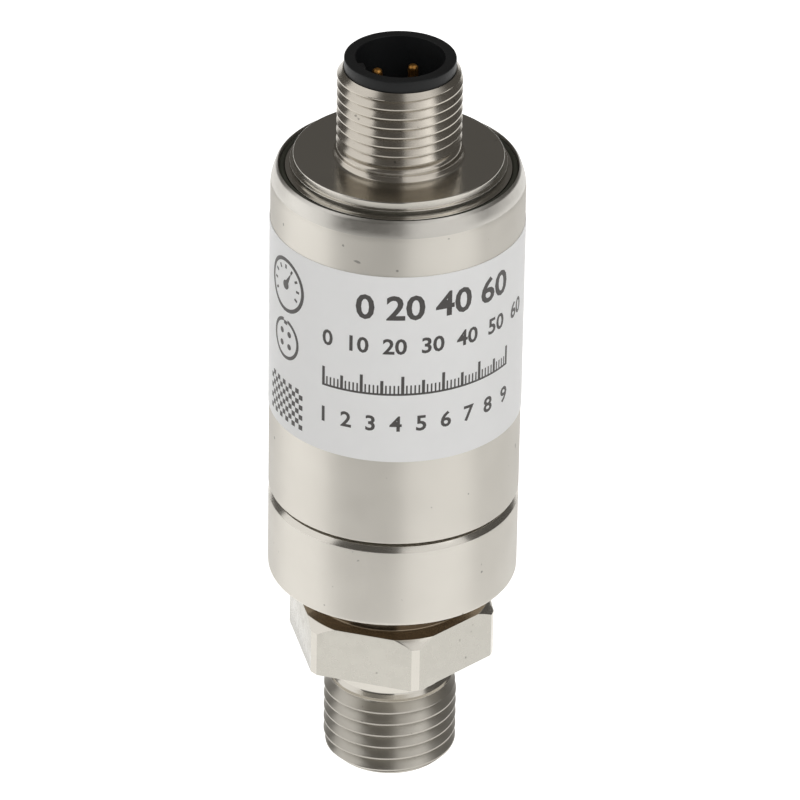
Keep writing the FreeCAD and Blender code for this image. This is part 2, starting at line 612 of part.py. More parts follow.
def capsule_inside():
    """What the capsule holds: ceramic filler, pedestal with silicon element, and filling ball."""
    bore = f"{FILLER} - Dims.FillerWall"
    base = f"{HEADER_FACE} - Dims.FillerHeight"
    turned("filler_insert", [
        (bore, base),
        (FILLER, base),
        (FILLER, HEADER_FACE),
        (bore, HEADER_FACE),
    ])
    below = f"{HEADER_FACE} - Dims.PedestalHeight"
    for label, width, height, level in (
            ("die_pedestal", "Dims.PedestalWidth", "Dims.PedestalHeight", below),
            ("sensing_die", "Dims.DieWidth", "Dims.DieHeight", f"{below} - Dims.DieHeight")):
        corner = (f"-{width} / 2", f"-{width} / 2", level)
        subparts.append(block(label, width, width, height, corner, "Dims.KeyAngle"))
    ball = doc.addObject("Part::Sphere", "fill_ball")
    ball.Label = "fill_ball"
    ball.setExpression("Radius", "Dims.FillBallRadius")
    ball.setExpression("Placement.Base.x", "Dims.FillBoreOffset * cos(Dims.KeyAngle)")
    ball.setExpression("Placement.Base.y", "Dims.FillBoreOffset * sin(Dims.KeyAngle)")
    ball.setExpression("Placement.Base.z", f"{HEADER_TOP} - Dims.FillBallRadius")
    subparts.append(ball)


def header_parts():
    """Reference tube, pins and glass beads of the capsule's header."""
    open_end = f"{HEADER_FACE} + Dims.VentTubeLength"
    turned("vent_tube", [
        ("Dims.VentTubeBore", HEADER_FACE),
        ("Dims.VentTubeRadius", HEADER_FACE),
        ("Dims.VentTubeRadius", open_end),
        ("Dims.VentTubeBore", open_end),
    ])
    start = f"{HEADER_FACE} - Dims.HeaderPinReach"
    pins = new_body("header_pins")
    pins.AllowCompound = True
    pin = discs(pins, "circle", "XY_Plane",
                [("Dims.HeaderPinCircle", "0", "Dims.HeaderPinRadius")], start)
    length = f"{LOWER_BOARD_TOP} + Dims.TailStickOut - ({start})"
    repeat_round(pins, "ring", extrude(pins, "pin", pin, length), "Dims.HeaderPinCount")
    turn(pins, "Dims.KeyAngle")
    seals = new_body("glass_seals")
    seals.AllowCompound = True
    circles = [("Dims.HeaderPinCircle", "0", radius)
               for radius in ("Dims.GlassSealRadius", "Dims.HeaderPinRadius")]
    bead = discs(seals, "circles", "XY_Plane", circles, HEADER_FACE)
    beads = extrude(seals, "bead", bead, "Dims.HeaderThickness")
    repeat_round(seals, "ring", beads, "Dims.HeaderPinCount")
    turn(seals, "Dims.KeyAngle")


def retaining_ring():
    """Screwed ring that holds the capsule down, with two slots for a pin spanner."""
    bore = f"{POCKET} - Dims.RetainerWidth"
    body = turned("retaining_ring", [
        (bore, CAPSULE_TOP),
        (POCKET, CAPSULE_TOP),
        (POCKET, RETAINER_TOP),
        (bore, RETAINER_TOP),
    ])
    slot = outline(body, "slot_section", "XY_Plane", [
        (f"-{POCKET}", "-Dims.RetainerSlotWidth / 2"),
        (POCKET, "-Dims.RetainerSlotWidth / 2"),
        (POCKET, "Dims.RetainerSlotWidth / 2"),
        (f"-{POCKET}", "Dims.RetainerSlotWidth / 2"),
    ], RETAINER_TOP)
    extrude(body, "slots", slot, "Dims.RetainerSlotDepth", "PartDesign::Pocket", upward=False)


def round_board(label, base, hole_count, hole_circle, hole_radius, first_angle):
    """A round board with two slots for the main board's tabs and a ring of soldered holes."""
    body = new_body(label)
    disc = discs(body, "edge", "XY_Plane", [("0", "0", BOARD_RADIUS)], base)
    extrude(body, "blank", disc, "Dims.RoundBoardThickness")
    inner = "Dims.TabOffset - Dims.TabHalfWidth - Dims.SlotClearance"
    outer = "Dims.TabOffset + Dims.TabHalfWidth + Dims.SlotClearance"
    deep = "(Dims.MainBoardThickness / 2 + Dims.SlotClearance)"
    slot = outline(body, "slot_outline", "XY_Plane", [
        (inner, f"-{deep}"),
        (outer, f"-{deep}"),
        (outer, deep),
        (inner, deep),
    ], base)
    cut = extrude(body, "slot", slot, "Dims.RoundBoardThickness", "PartDesign::Pocket")
    repeat_round(body, "slots", cut, "2")
    across, up = f"{hole_circle} * cos({first_angle})", f"{hole_circle} * sin({first_angle})"
    circle = discs(body, "hole_circle", "XY_Plane", [(across, up, hole_radius)], base)
    drilled = extrude(body, "hole", circle, "Dims.RoundBoardThickness", "PartDesign::Pocket")
    repeat_round(body, "holes", drilled, hole_count)
    turn(body, "Dims.KeyAngle")


def main_board():
    """Upright board whose tabs plug into the round boards, notched over the soldered pins."""
    edge, notch = f"({SLEEVE_BORE} - Dims.MainBoardRoom)", "Dims.NotchHalfWidth"
    inner, outer = "(Dims.TabOffset - Dims.TabHalfWidth)", "(Dims.TabOffset + Dims.TabHalfWidth)"

    def row(level, inward):
        """Half of one end, from the edge inwards: its tab, then its notch."""
        tab = f"{level} {'-' if inward == '+' else '+'} Dims.RoundBoardThickness"
        clear = f"{level} {inward} Dims.NotchHeight"
        return [(edge, level), (outer, level), (outer, tab), (inner, tab), (inner, level),
                (notch, level), (notch, clear)]

    def mirrored(points):
        """The same points on the other side of the axis, in reverse order."""
        return [(f"-{across}", up) for across, up in reversed(points)]

    lower, upper = row(LOWER_BOARD_TOP, "+"), row(UPPER_BOARD_BASE, "-")
    corners = lower + mirrored(lower) + list(reversed(mirrored(upper))) + list(reversed(upper))
    body = new_body("main_board")
    sketch = outline(body, "outline", "XZ_Plane", corners)
    extrude(body, "panel", sketch, "Dims.MainBoardThickness", both_ways=True)
    turn(body, "Dims.KeyAngle")


def board_components():
    """Signal processor and capacitors on the main board, diodes on the connector board."""
    face = "Dims.MainBoardThickness / 2"
    subparts.append(block(
        "signal_processor", "Dims.ProcessorWidth", "Dims.ProcessorHeight", "Dims.ProcessorWidth",
        ("-Dims.ProcessorWidth / 2", face, f"{LOWER_BOARD_TOP} + Dims.ProcessorLevel"),
        "Dims.KeyAngle"))
    row = new_body("board_capacitors")
    row.AllowCompound = True
    first = "(Dims.CapacitorPitch * (Dims.CapacitorCount - 1) + Dims.CapacitorWidth) / 2"
    low = f"{LOWER_BOARD_TOP} + Dims.CapacitorLevel"
    sketch = outline(row, "outline", "XZ_Plane", [
        (f"-({first})", low),
        (f"Dims.CapacitorWidth - {first}", low),
        (f"Dims.CapacitorWidth - {first}", f"{low} + Dims.CapacitorLength"),
        (f"-({first})", f"{low} + Dims.CapacitorLength"),
    ])
    sketch.setExpression("AttachmentOffset.Base.z", face)
    pad = extrude(row, "capacitor", sketch, "Dims.CapacitorHeight")
    pattern = row.newObject("PartDesign::LinearPattern", "board_capacitors_row")
    pattern.Originals = [pad]
    pattern.Direction = (sketch, ["H_Axis"])
    pattern.setExpression("Length", "Dims.CapacitorPitch * (Dims.CapacitorCount - 1)")
    pattern.setExpression("Occurrences", "Dims.CapacitorCount")
    row.Tip = pattern
    turn(row, "Dims.KeyAngle")
    diodes = new_body("suppressor_diodes")
    diodes.AllowCompound = True
    half_length, half_width = "Dims.DiodeLength / 2", "Dims.DiodeWidth / 2"
    sketch = outline(diodes, "outline", "XY_Plane", [
        (f"-{half_length}", f"Dims.DiodeOffset - {half_width}"),
        (half_length, f"Dims.DiodeOffset - {half_width}"),
        (half_length, f"Dims.DiodeOffset + {half_width}"),
        (f"-{half_length}", f"Dims.DiodeOffset + {half_width}"),
    ], UPPER_BOARD_TOP)
    repeat_round(diodes, "pair", extrude(diodes, "diode", sketch, "Dims.DiodeHeight"), "2")
    turn(diodes, "Dims.KeyAngle")


def insulating_sleeve():
    """Plastic sleeve that lines the tube and carries the connector board."""
    turned("insulating_sleeve", [
        (SLEEVE_BORE, LOWER_BOARD_TOP),
        (BOARD_RADIUS, LOWER_BOARD_TOP),
        (BOARD_RADIUS, UPPER_BOARD_BASE),
        (SLEEVE_BORE, UPPER_BOARD_BASE),
    ])


def label():
    """Printed film wrapped round the tube, open at the back."""
    body = new_body("label")
    low = f"{TUBE_BASE} + Dims.LabelLevel"
    sketch = outline(body, "section", "XZ_Plane", [
        ("Dims.HousingRadius", low),
        ("Dims.HousingRadius + Dims.LabelThickness", low),
        ("Dims.HousingRadius + Dims.LabelThickness", f"{low} + Dims.LabelHeight"),
        ("Dims.HousingRadius", f"{low} + Dims.LabelHeight"),
    ])
    film = revolve(body, "film", sketch)
    film.Midplane = True
    film.setExpression("Angle", "360 - Dims.LabelGap / Dims.HousingRadius * 180 / pi")
    body.Placement.Rotation = FreeCAD.Rotation(FreeCAD.Vector(0, 0, 1), -90)


def check_model():
    """Stop if any object failed, or if a sub-part has no valid shape."""
    for item in doc.Objects:
        if "Invalid" in item.State or "Error" in item.State:
            raise RuntimeError(f"{item.Name}: {item.State}")
    for piece in subparts:
        if piece.Shape.isNull() or not piece.Shape.isValid() or not piece.Shape.Solids:
            raise RuntimeError(f"{piece.Label}: no valid shape")


port_body()
housing_tube()
connector_shell()
ring_seal("rim_seal", LEDGE, "Dims.RimSealSection", SEAL_SEAT)
contact_carrier()
ring_seal("carrier_o_ring", CARRIER_GROOVE_FLOOR, "Dims.CarrierSealSection",
          f"{CARRIER_GROOVE} + Dims.SealSideRoom / 2")
for pin_number in range(1, round(size("Dims.PinCount")) + 1):
    contact_pin(pin_number)
vent_membrane()
capsule_body()
isolating_diaphragm()
capsule_inside()
header_parts()
ring_seal("sensor_o_ring", CAPSULE_GROOVE_FLOOR, "Dims.SensorSealSection",
          f"{CAPSULE_GROOVE} + Dims.SealSideRoom / 2")
retaining_ring()
round_board("compensation_board", PORT_TOP, "Dims.HeaderPinCount", "Dims.HeaderPinCircle",
            "Dims.HeaderPinRadius + Dims.SolderClearance", "0")
round_board("connector_board", UPPER_BOARD_BASE, "Dims.PinCount", "Dims.PinCircleRadius",
            "Dims.TailRadius + Dims.SolderClearance", "45")
main_board()
board_components()
insulating_sleeve()
label()

doc.recompute()
check_model()
os.makedirs("parts", exist_ok=True)
for piece in subparts:
    piece.Shape.exportStep(f"parts/{piece.Label}.step")
    print(piece.Label, len(piece.Shape.Solids), "solid,", round(piece.Shape.Volume, 2), "mm3")
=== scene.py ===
# %% [markdown]
# # A compact pressure transmitter
#
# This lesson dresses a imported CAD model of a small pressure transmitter: a round steel
# housing with a printed label, a hexagon and a G1/4 thread below it, and a keyed M12 plug
# above it.  The frame comes first, because every piece takes its place from the CAD nodes.

# %% Load the fixed frame
import math

import bmesh
import bpy
from mathutils import Matrix, Vector


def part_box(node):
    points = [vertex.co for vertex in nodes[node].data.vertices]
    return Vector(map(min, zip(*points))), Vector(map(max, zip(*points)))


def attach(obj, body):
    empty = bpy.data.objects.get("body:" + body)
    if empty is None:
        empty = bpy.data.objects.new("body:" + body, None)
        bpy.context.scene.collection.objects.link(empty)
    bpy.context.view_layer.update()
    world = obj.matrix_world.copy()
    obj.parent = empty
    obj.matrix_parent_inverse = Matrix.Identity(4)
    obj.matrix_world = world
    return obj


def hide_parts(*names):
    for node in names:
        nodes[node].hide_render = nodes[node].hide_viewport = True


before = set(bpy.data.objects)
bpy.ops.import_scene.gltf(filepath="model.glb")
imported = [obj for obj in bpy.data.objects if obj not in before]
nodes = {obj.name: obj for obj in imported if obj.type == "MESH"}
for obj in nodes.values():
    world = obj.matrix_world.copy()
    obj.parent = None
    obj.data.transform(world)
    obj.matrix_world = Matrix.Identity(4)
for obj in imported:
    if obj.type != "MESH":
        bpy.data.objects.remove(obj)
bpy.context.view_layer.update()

MM = 0.001

# %% [markdown]
# ## The camera
#
# The camera stands 0.7 m in front of the label and looks down at about 30 degrees through a
# long lens, so that upright edges stay nearly parallel.  It is rolled by one degree, so the
# object leans a little in the frame.  An orthographic camera would be simpler still, but
# then the threads would lose their slight fan.

# %% Camera
ELEVATION = math.radians(30.23)
ROLL = math.radians(0.974)
DISTANCE = 0.7055
FOCAL_LENGTH = 326.3
AIM = Vector((0.51, 0.0, 39.68)) * MM

toward_camera = Vector((0, -math.cos(ELEVATION), math.sin(ELEVATION)))
level_up = Vector((0, math.sin(ELEVATION), math.cos(ELEVATION)))
across = Vector((1, 0, 0))
right = across * math.cos(ROLL) + level_up * math.sin(ROLL)
upward = level_up * math.cos(ROLL) - across * math.sin(ROLL)

lens = bpy.data.cameras.new("studio_camera")
lens.sensor_width = 36.0
lens.lens = FOCAL_LENGTH
lens.clip_start = 0.01
camera = bpy.data.objects.new("studio_camera", lens)
bpy.context.scene.collection.objects.link(camera)
camera.matrix_world = (Matrix.Translation(AIM + toward_camera * DISTANCE)
                       @ Matrix((right, upward, toward_camera)).transposed().to_4x4())
bpy.context.scene.camera = camera
bpy.context.scene.view_settings.view_transform = "Standard"
print("camera at", [round(x, 4) for x in camera.matrix_world.translation])

# %% [markdown]
# ## Two small helpers for nodes
#
# A colour is written as the sRGB hex value that the eye sees, and the shader wants linear
# light, so one function converts it.  Shader trees and Geometry Nodes trees have the same
# kind of nodes and links, so one function adds a node to either: it takes the inputs by
# name or by number, and whatever is a socket gets linked instead of set.

# %% Colour and node helpers
def linear(hex_colour):
    """Linear RGBA of a #RRGGBB colour."""
    parts = [int(hex_colour[i:i + 2], 16) / 255 for i in (1, 3, 5)]
    light = [c / 12.92 if c <= 0.04045 else ((c + 0.055) / 1.055) ** 2.4 for c in parts]
    return (*light, 1.0)


def add_node(tree, kind, inputs=None, **settings):
    """Add a node with its settings, set or link its inputs, and return its first output."""
    node = tree.nodes.new(kind)
    for name, value in settings.items():
        setattr(node, name, value)
    for socket, value in (inputs or {}).items():
        if isinstance(value, bpy.types.NodeSocket):
            tree.links.new(value, node.inputs[socket])
        else:
            node.inputs[socket].default_value = value
    return node.outputs[0] if node.outputs else node


def new_material(name):
    """An empty node material, and its tree."""
    material = bpy.data.materials.new(name)
    material.use_nodes = True
    material.node_tree.nodes.clear()
    return material, material.node_tree


print("mid grey in linear light:", [round(c, 3) for c in linear("#808080")[:3]])

# %% [markdown]
# ## Floor, surroundings and light
#
# The floor is a plain pale sheet.  It takes the object's soft shadow as any matt surface
# does, and a constant white is added where a camera, mirror or glass ray meets it, so the
# background is white and the steel shows the same white.  That white is painted to fade
# along the floor in front of the object: a painted shade there, which darkens the steel's
# reflections of the front floor.  Upright softboxes stand to the left and at the front
# right, and a third hangs overhead.  Steel has hardly any colour of its own: it shows this
# room, so the softboxes' edges decide where its bright and dark bands lie.  A wide fill
# from the front reaches the film and the plastic but stays out of the steel's reflections.
# The rest of the room is a dim warm grey.

# %% Floor
FLOOR_HALF = 4.0
FLOOR_LEVEL = -0.1 * MM
floor_mesh = bpy.data.meshes.new("pale_floor")
floor_mesh.from_pydata([(x * FLOOR_HALF, y * FLOOR_HALF, FLOOR_LEVEL)
                        for x, y in ((-1, -1), (1, -1), (1, 1), (-1, 1))], [], [(0, 1, 2, 3)])
pale_floor = bpy.data.objects.new("pale_floor", floor_mesh)
bpy.context.scene.collection.objects.link(pale_floor)

# Painted shade: the white grows from one strength to the other between two distances
# along +Y, in metres, so it is dimmer in front of the object.
FADE_NEAR, FADE_FAR = -0.33, 0.0
WHITE_NEAR, WHITE_FAR = 0.20, 0.97
pale_card, tree = new_material("matt_white_card")
rays = tree.nodes.new("ShaderNodeLightPath").outputs
seen = add_node(tree, "ShaderNodeMath", {0: rays["Is Camera Ray"], 1: rays["Is Glossy Ray"]},
                operation="ADD")
seen = add_node(tree, "ShaderNodeMath", {0: seen, 1: rays["Is Transmission Ray"]},
                operation="ADD", use_clamp=True)
place = tree.nodes.new("ShaderNodeTexCoord").outputs["Object"]
along_floor = add_node(tree, "ShaderNodeSeparateXYZ", {0: place}).node.outputs["Y"]
# The painted shade: the added white, set by the place along the floor.
white = add_node(tree, "ShaderNodeMapRange",
                 {"Value": along_floor, "From Min": FADE_NEAR, "From Max": FADE_FAR,
                  "To Min": WHITE_NEAR, "To Max": WHITE_FAR}, interpolation_type="SMOOTHSTEP")
strength = add_node(tree, "ShaderNodeMath", {0: seen, 1: white}, operation="MULTIPLY")
glow = add_node(tree, "ShaderNodeEmission", {"Strength": strength})
matt = add_node(tree, "ShaderNodeBsdfDiffuse", {"Color": linear("#CDCDCB")})
both = add_node(tree, "ShaderNodeAddShader", {0: glow, 1: matt})
add_node(tree, "ShaderNodeOutputMaterial", {"Surface": both})
floor_mesh.materials.append(pale_card)

# %% Surroundings and softboxes
room = bpy.data.worlds.new("dim_room")
room.use_nodes = True
room.node_tree.nodes.clear()
sky = add_node(room.node_tree, "ShaderNodeBackground",
               {"Color": linear("#FBF6EF"), "Strength": 0.13})
add_node(room.node_tree, "ShaderNodeOutputWorld", {"Surface": sky})
bpy.context.scene.world = room


def softbox(name, centre, facing, wide, tall, radiance):
    """A rectangular light at a place, facing along a direction, with sizes in metres.

    A mirror shows a lamp of radiance 1 as white.
    """
    light = bpy.data.lights.new(name, "AREA")
    light.shape = "RECTANGLE"
    light.size, light.size_y = wide, tall
    light.energy = radiance * math.pi * wide * tall
    lamp = bpy.data.objects.new(name, light)
    bpy.context.scene.collection.objects.link(lamp)
    lamp.matrix_world = (Matrix.Translation(Vector(centre))
                         @ Vector(facing).to_track_quat("-Z", "Y").to_matrix().to_4x4())
    lamp.visible_camera = False
    print(name, "gives", round(light.energy, 2), "W")
    return lamp


def standing(name, azimuth, half_angle, reach, high, radiance):
    """An upright softbox just above the floor, seen from the axis at an azimuth and a width.

    Both are angles in degrees, the azimuth from -Y towards +X; reach and high are metres.
    """
    turn = math.radians(azimuth)
    outward = Vector((math.sin(turn), -math.cos(turn), 0))
    low = 0.01
    softbox(name, outward * reach + Vector((0, 0, (low + high) / 2)), -outward,
            2 * reach * math.tan(math.radians(half_angle)), high - low, radiance)


standing("left_softbox", azimuth=-85, half_angle=28, reach=0.45, high=1.2, radiance=1.13)
standing("right_softbox", azimuth=40.5, half_angle=32, reach=0.45, high=0.6, radiance=1.0)
softbox("top_softbox", centre=(0.33, -0.08, 0.6), facing=(0, 0, -1),
        wide=0.54, tall=0.56, radiance=0.9)
fill = softbox("front_fill", centre=(0, -1.1, 0.9), facing=(0, 0.8, -0.62),
               wide=1.2, tall=1.2, radiance=1.25)
fill.visible_glossy = False

# %% [markdown]
# ## Steel from a lathe
#
# All outer metal is stainless steel, turned on a lathe.  The tool leaves fine rings round
# the axis, so a highlight spreads across the rings: up and down on a wall, and in and out
# on a flat end.  Cycles makes that with an anisotropic lobe, which needs to know one
# direction on the surface.  It is worked out from the object's own coordinates: the rings
# run along (-y, x, 0), and the cross product with the normal gives the way across them.
# The rings themselves are a stretched noise, drawn in (distance from the axis, height), so
# one pattern serves walls, flats and chamfers.  Real rings are a few hundredths of a
# millimetre apart, too fine to show, so they are drawn about 0.2 mm apart.  Milled and
# blasted metal has no rings, so the same noise runs evenly over it in all directions.  A
# few dark pin-prick specks, about 0.2 mm wide, are the small marks of handling.

# %% Turned stainless steel
TONE_SIZE, SPECK_SIZE = 9.0, 0.6
# Nearly all values of a noise lie in this span.
NOISE_SPAN = {"From Min": 0.3, "From Max": 0.7}


def turned_steel(name, colour, roughness, anisotropy, ring_pitch=0.20, ring_depth=0.0004,
                 cloud=0.04, cloud_size=3.5):
    """Turned stainless steel, with its sizes in millimetres.

    The roughness drifts by cloud to either side over patches of cloud_size.
    """
    material, tree = new_material(name)
    place = tree.nodes.new("ShaderNodeTexCoord").outputs["Object"]
    normal = tree.nodes.new("ShaderNodeNewGeometry").outputs["Normal"]
    # The direction across the rings.
    rings_run = add_node(tree, "ShaderNodeVectorMath", {0: (0, 0, 1), 1: place},
                         operation="CROSS_PRODUCT")
    across_rings = add_node(tree, "ShaderNodeVectorMath", {0: normal, 1: rings_run},
                            operation="CROSS_PRODUCT")
    tangent = add_node(tree, "ShaderNodeVectorMath", {0: across_rings}, operation="NORMALIZE")
    # The place as (distance from the axis, height), in which every ring is a point.
    parts = add_node(tree, "ShaderNodeSeparateXYZ", {0: place}).node.outputs
    flat = add_node(tree, "ShaderNodeCombineXYZ", {"X": parts["X"], "Y": parts["Y"]})
    from_axis = add_node(tree, "ShaderNodeVectorMath", {0: flat},
                         operation="LENGTH").node.outputs["Value"]
    meridian = add_node(tree, "ShaderNodeCombineXYZ", {"X": from_axis, "Y": parts["Z"]})
    # The noise's widest grain spans two pitches, and its finer layers lie within that.
    rings = add_node(tree, "ShaderNodeTexNoise",
                     {"Vector": meridian if anisotropy > 0.4 else place,
                      "Scale": 0.5 / (ring_pitch * MM), "Detail": 2.0})
    bump = add_node(tree, "ShaderNodeBump",
                    {"Height": rings, "Distance": ring_depth * MM, "Strength": 0.5})
    # Clouds of roughness, and a tone that drifts by 1.5% and drops at a speck.
    clouds = add_node(tree, "ShaderNodeTexNoise",
                      {"Vector": place, "Scale": 1 / (cloud_size * MM), "Detail": 4.0})
    grade = add_node(tree, "ShaderNodeMapRange",
                     {"Value": clouds, **NOISE_SPAN,
                      "To Min": roughness - cloud, "To Max": roughness + cloud})
    drift = add_node(tree, "ShaderNodeTexNoise", {"Vector": place, "Scale": 1 / (TONE_SIZE * MM)})
    tone = add_node(tree, "ShaderNodeMapRange",
                    {"Value": drift, **NOISE_SPAN, "To Min": 0.985, "To Max": 1.015})
    specks = add_node(tree, "ShaderNodeTexNoise",
                      {"Vector": place, "Scale": 1 / (SPECK_SIZE * MM), "Detail": 0.0})
    unmarked = add_node(tree, "ShaderNodeMapRange",
                        {"Value": specks, "From Min": 0.84, "From Max": 0.88,
                         "To Min": 1.0, "To Max": 0.55})
    tone = add_node(tree, "ShaderNodeMath", {0: tone, 1: unmarked}, operation="MULTIPLY")
    tint = add_node(tree, "ShaderNodeVectorMath", {0: linear(colour)[:3], "Scale": tone},
                    operation="SCALE")
    metal = add_node(tree, "ShaderNodeBsdfPrincipled",
                     {"Base Color": tint, "Metallic": 1.0, "Roughness": grade,
                      "Anisotropic": anisotropy, "Tangent": tangent, "Normal": bump})
    add_node(tree, "ShaderNodeOutputMaterial", {"Surface": metal})
    return material


# %% Steel finishes
# Port of 1.4404 and drawn tube: fine rings and a satin finish, so a highlight becomes one
# soft band along the wall.
port_steel = turned_steel("turned_stainless_steel_1_4404", "#D6D2CA", 0.45, 0.9,
                          ring_pitch=0.25, ring_depth=0.0008, cloud=0.015)
housing_steel = turned_steel("satin_stainless_tube", "#D6D2CA", 0.47, 0.92,
                             ring_pitch=0.22, ring_depth=0.0008, cloud=0.015)
# Plug and port details: finish-turned with a sharp tool, so nearly a mirror.
plug_steel = turned_steel("bright_turned_stainless_steel", "#C5C1B9", 0.20, 0.5, cloud=0.03)
# Threads: cutting leaves a greyer skin than finish turning.  The plug's rolled thread is
# painted darker than the plug: painted shade in its grooves.
thread_steel = turned_steel("cut_thread_stainless_steel", "#AFABA3", 0.38, 0.8)
plug_thread_shaded_steel = turned_steel("rolled_thread_steel_painted_shade", "#B6B0A6", 0.22, 0.5,
                                 cloud=0.03)
# The neck under the flange is painted a darker, warm brown: painted shade where the flange
# hangs over it.
neck_shade_steel = turned_steel("stainless_steel_painted_neck_shade", "#8A7D6C", 0.22, 0.6,
                            ring_depth=0.0006)
# The hexagon's flats are milled: a faint mottle and no direction.
milled_steel = turned_steel("milled_stainless_steel_flats", "#B5B2AA", 0.27, 0.0,
                            ring_pitch=0.30, ring_depth=0.0006, cloud=0.06, cloud_size=1.2)
# The rolled edge is blasted with glass beads: a shade darker, with a fine even grain.
blasted_steel = turned_steel("bead_blasted_stainless_steel", "#BFBCB6", 0.34, 0.3,
                             ring_pitch=0.08, ring_depth=0.0010, cloud_size=0.35)
# The capsule and its ring are smooth and clean, and greyer than the outside.
inner_steel = turned_steel("smooth_stainless_steel_1_4435", "#CFCFCE", 0.30, 0.3,
                           ring_pitch=0.30, ring_depth=0.0010)
print("steels:", [name for name in bpy.data.materials.keys() if "steel" in name])

# %% [markdown]
# ## Profiles on a lathe
#
# A turned piece is its half section, spun once round the axis.  Sharp corners don't exist
# on real metal: every edge is broken by a few hundredths of a millimetre, and it is that
# narrow facet that catches the light.  So the profile is softened before it is spun, with a
# small arc in each corner, or a large one where the drawing asks for a fillet.  A Screw
# modifier could spin the profile too, but code gives closed seams and poles at once.

# %% Lathe helpers
COLUMNS = 228
EDGE_BREAK = 0.05
EDGE_STEPS, FILLET_STEPS = 3, 8
ARC_SHARE = 0.45
ON_AXIS = 1e-6


def softened(profile, closed=True):
    """Round the corners of a profile of (radius, level[, corner radius]) rows, in millimetres.

    An arc takes less than half of the shorter side, so that two arcs never meet.
    """
    points = [Vector(row[:2]) for row in profile]
    rounds = [row[2] if len(row) > 2 else EDGE_BREAK for row in profile]
    result = []
    for i, here in enumerate(points):
        before, after = points[i - 1], points[(i + 1) % len(points)]
        if not closed and i in (0, len(points) - 1) or here.x < ON_AXIS or rounds[i] == 0:
            result.append(here)
            continue
        back, ahead = before - here, after - here
        corner = math.pi - back.angle(ahead)
        reach = min(rounds[i] * math.tan(corner / 2), ARC_SHARE * back.length,
                    ARC_SHARE * ahead.length)
        start, end = here + back.normalized() * reach, here + ahead.normalized() * reach
        steps = EDGE_STEPS if rounds[i] <= EDGE_BREAK else FILLET_STEPS
        for k in range(steps + 1):
            t = k / steps
            result.append(start * (1 - t) ** 2 + here * 2 * t * (1 - t) + end * t ** 2)
    return result


def lathe(name, profile, closed=True):
    """Spin a softened profile round the axis into one object, with welded poles and seam."""
    shape = bmesh.new()
    turns = [2 * math.pi * k / COLUMNS for k in range(COLUMNS)]
    rows = []
    for point in softened(profile, closed):
        reach, level = point.x * MM, point.y * MM
        if point.x < ON_AXIS:
            rows.append([shape.verts.new((0, 0, level))] * COLUMNS)
        else:
            rows.append([shape.verts.new((reach * math.cos(turn), reach * math.sin(turn), level))
                         for turn in turns])
    for i in range(len(rows) if closed else len(rows) - 1):
        low, high = rows[i], rows[(i + 1) % len(rows)]
        for k in range(COLUMNS):
            j = (k + 1) % COLUMNS
            loop = list(dict.fromkeys((low[k], low[j], high[j], high[k])))
            if len(loop) > 2:
                shape.faces.new(loop)
    bmesh.ops.recalc_face_normals(shape, faces=shape.faces)
    return finished(name, shape)


def finished(name, shape):
    """Turn a bmesh into an object in the scene."""
    mesh = bpy.data.meshes.new(name)
    shape.to_mesh(mesh)
    shape.free()
    piece = bpy.data.objects.new(name, mesh)
    bpy.context.scene.collection.objects.link(piece)
    return piece


# %% Helpers for every piece
def smooth(piece, sharp_degrees=32):
    """Shade a piece smooth, with the edges above an angle kept sharp."""
    piece.data.shade_smooth()
    piece.data.set_sharp_from_angle(angle=math.radians(sharp_degrees))


def applied(piece):
    """Replace a piece's mesh by what its modifiers make of it, and drop the modifiers."""
    source = piece.evaluated_get(bpy.context.evaluated_depsgraph_get())
    mesh = bpy.data.meshes.new_from_object(source)
    piece.modifiers.clear()
    piece.data = mesh


def cut(piece, cutter):
    """Take a cutter's space out of a piece, and delete the cutter."""
    knife = piece.modifiers.new("cut", "BOOLEAN")
    knife.operation, knife.solver, knife.object = "DIFFERENCE", "EXACT", cutter
    applied(piece)
    bpy.data.objects.remove(cutter)


def dress(piece, slot, *replaced, materials=()):
    """Give a piece its materials and body, and hide the CAD nodes that it stands for; slot is not
    used.
    """
    if materials:
        piece.data.materials.clear()
        for material in materials:
            piece.data.materials.append(material)
    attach(piece, "root")
    if replaced:
        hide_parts(*replaced)
    print(piece.name, "has", len(piece.data.polygons), "faces")


# %% [markdown]
# ## Screw threads that follow a rule
#
# A thread is a groove on a helix.  Its surface is a rule: take a point's height, less the
# rise of the helix at its angle, and the remainder within one pitch says where on the tooth
# it is.  Geometry Nodes apply that rule to a grid.  The grid's rows follow the helix, so
# that every crest is one clean line, and heights outside the threaded stretch are clamped
# to its two ends, where the rows gather in plain circles that weld to the lathe's profile.
# The entry chamfers and the run-out are an upper bound on the radius.

# %% Thread tree
WHOLE_TURNS = 100.0
WELD_DISTANCE = 1e-7
THREAD_INPUTS = {
    "Float": ("Pitch", "Major Radius", "Thread Depth", "Crest Share", "Root Share",
              "Low Level", "High Level", "Low Radius", "High Radius", "Low Fade", "High Fade",
              "Start", "Crest Turn"),
    "Int": ("Columns", "Rows", "Rows Per Pitch"),
    "Material": ("Material",),
}


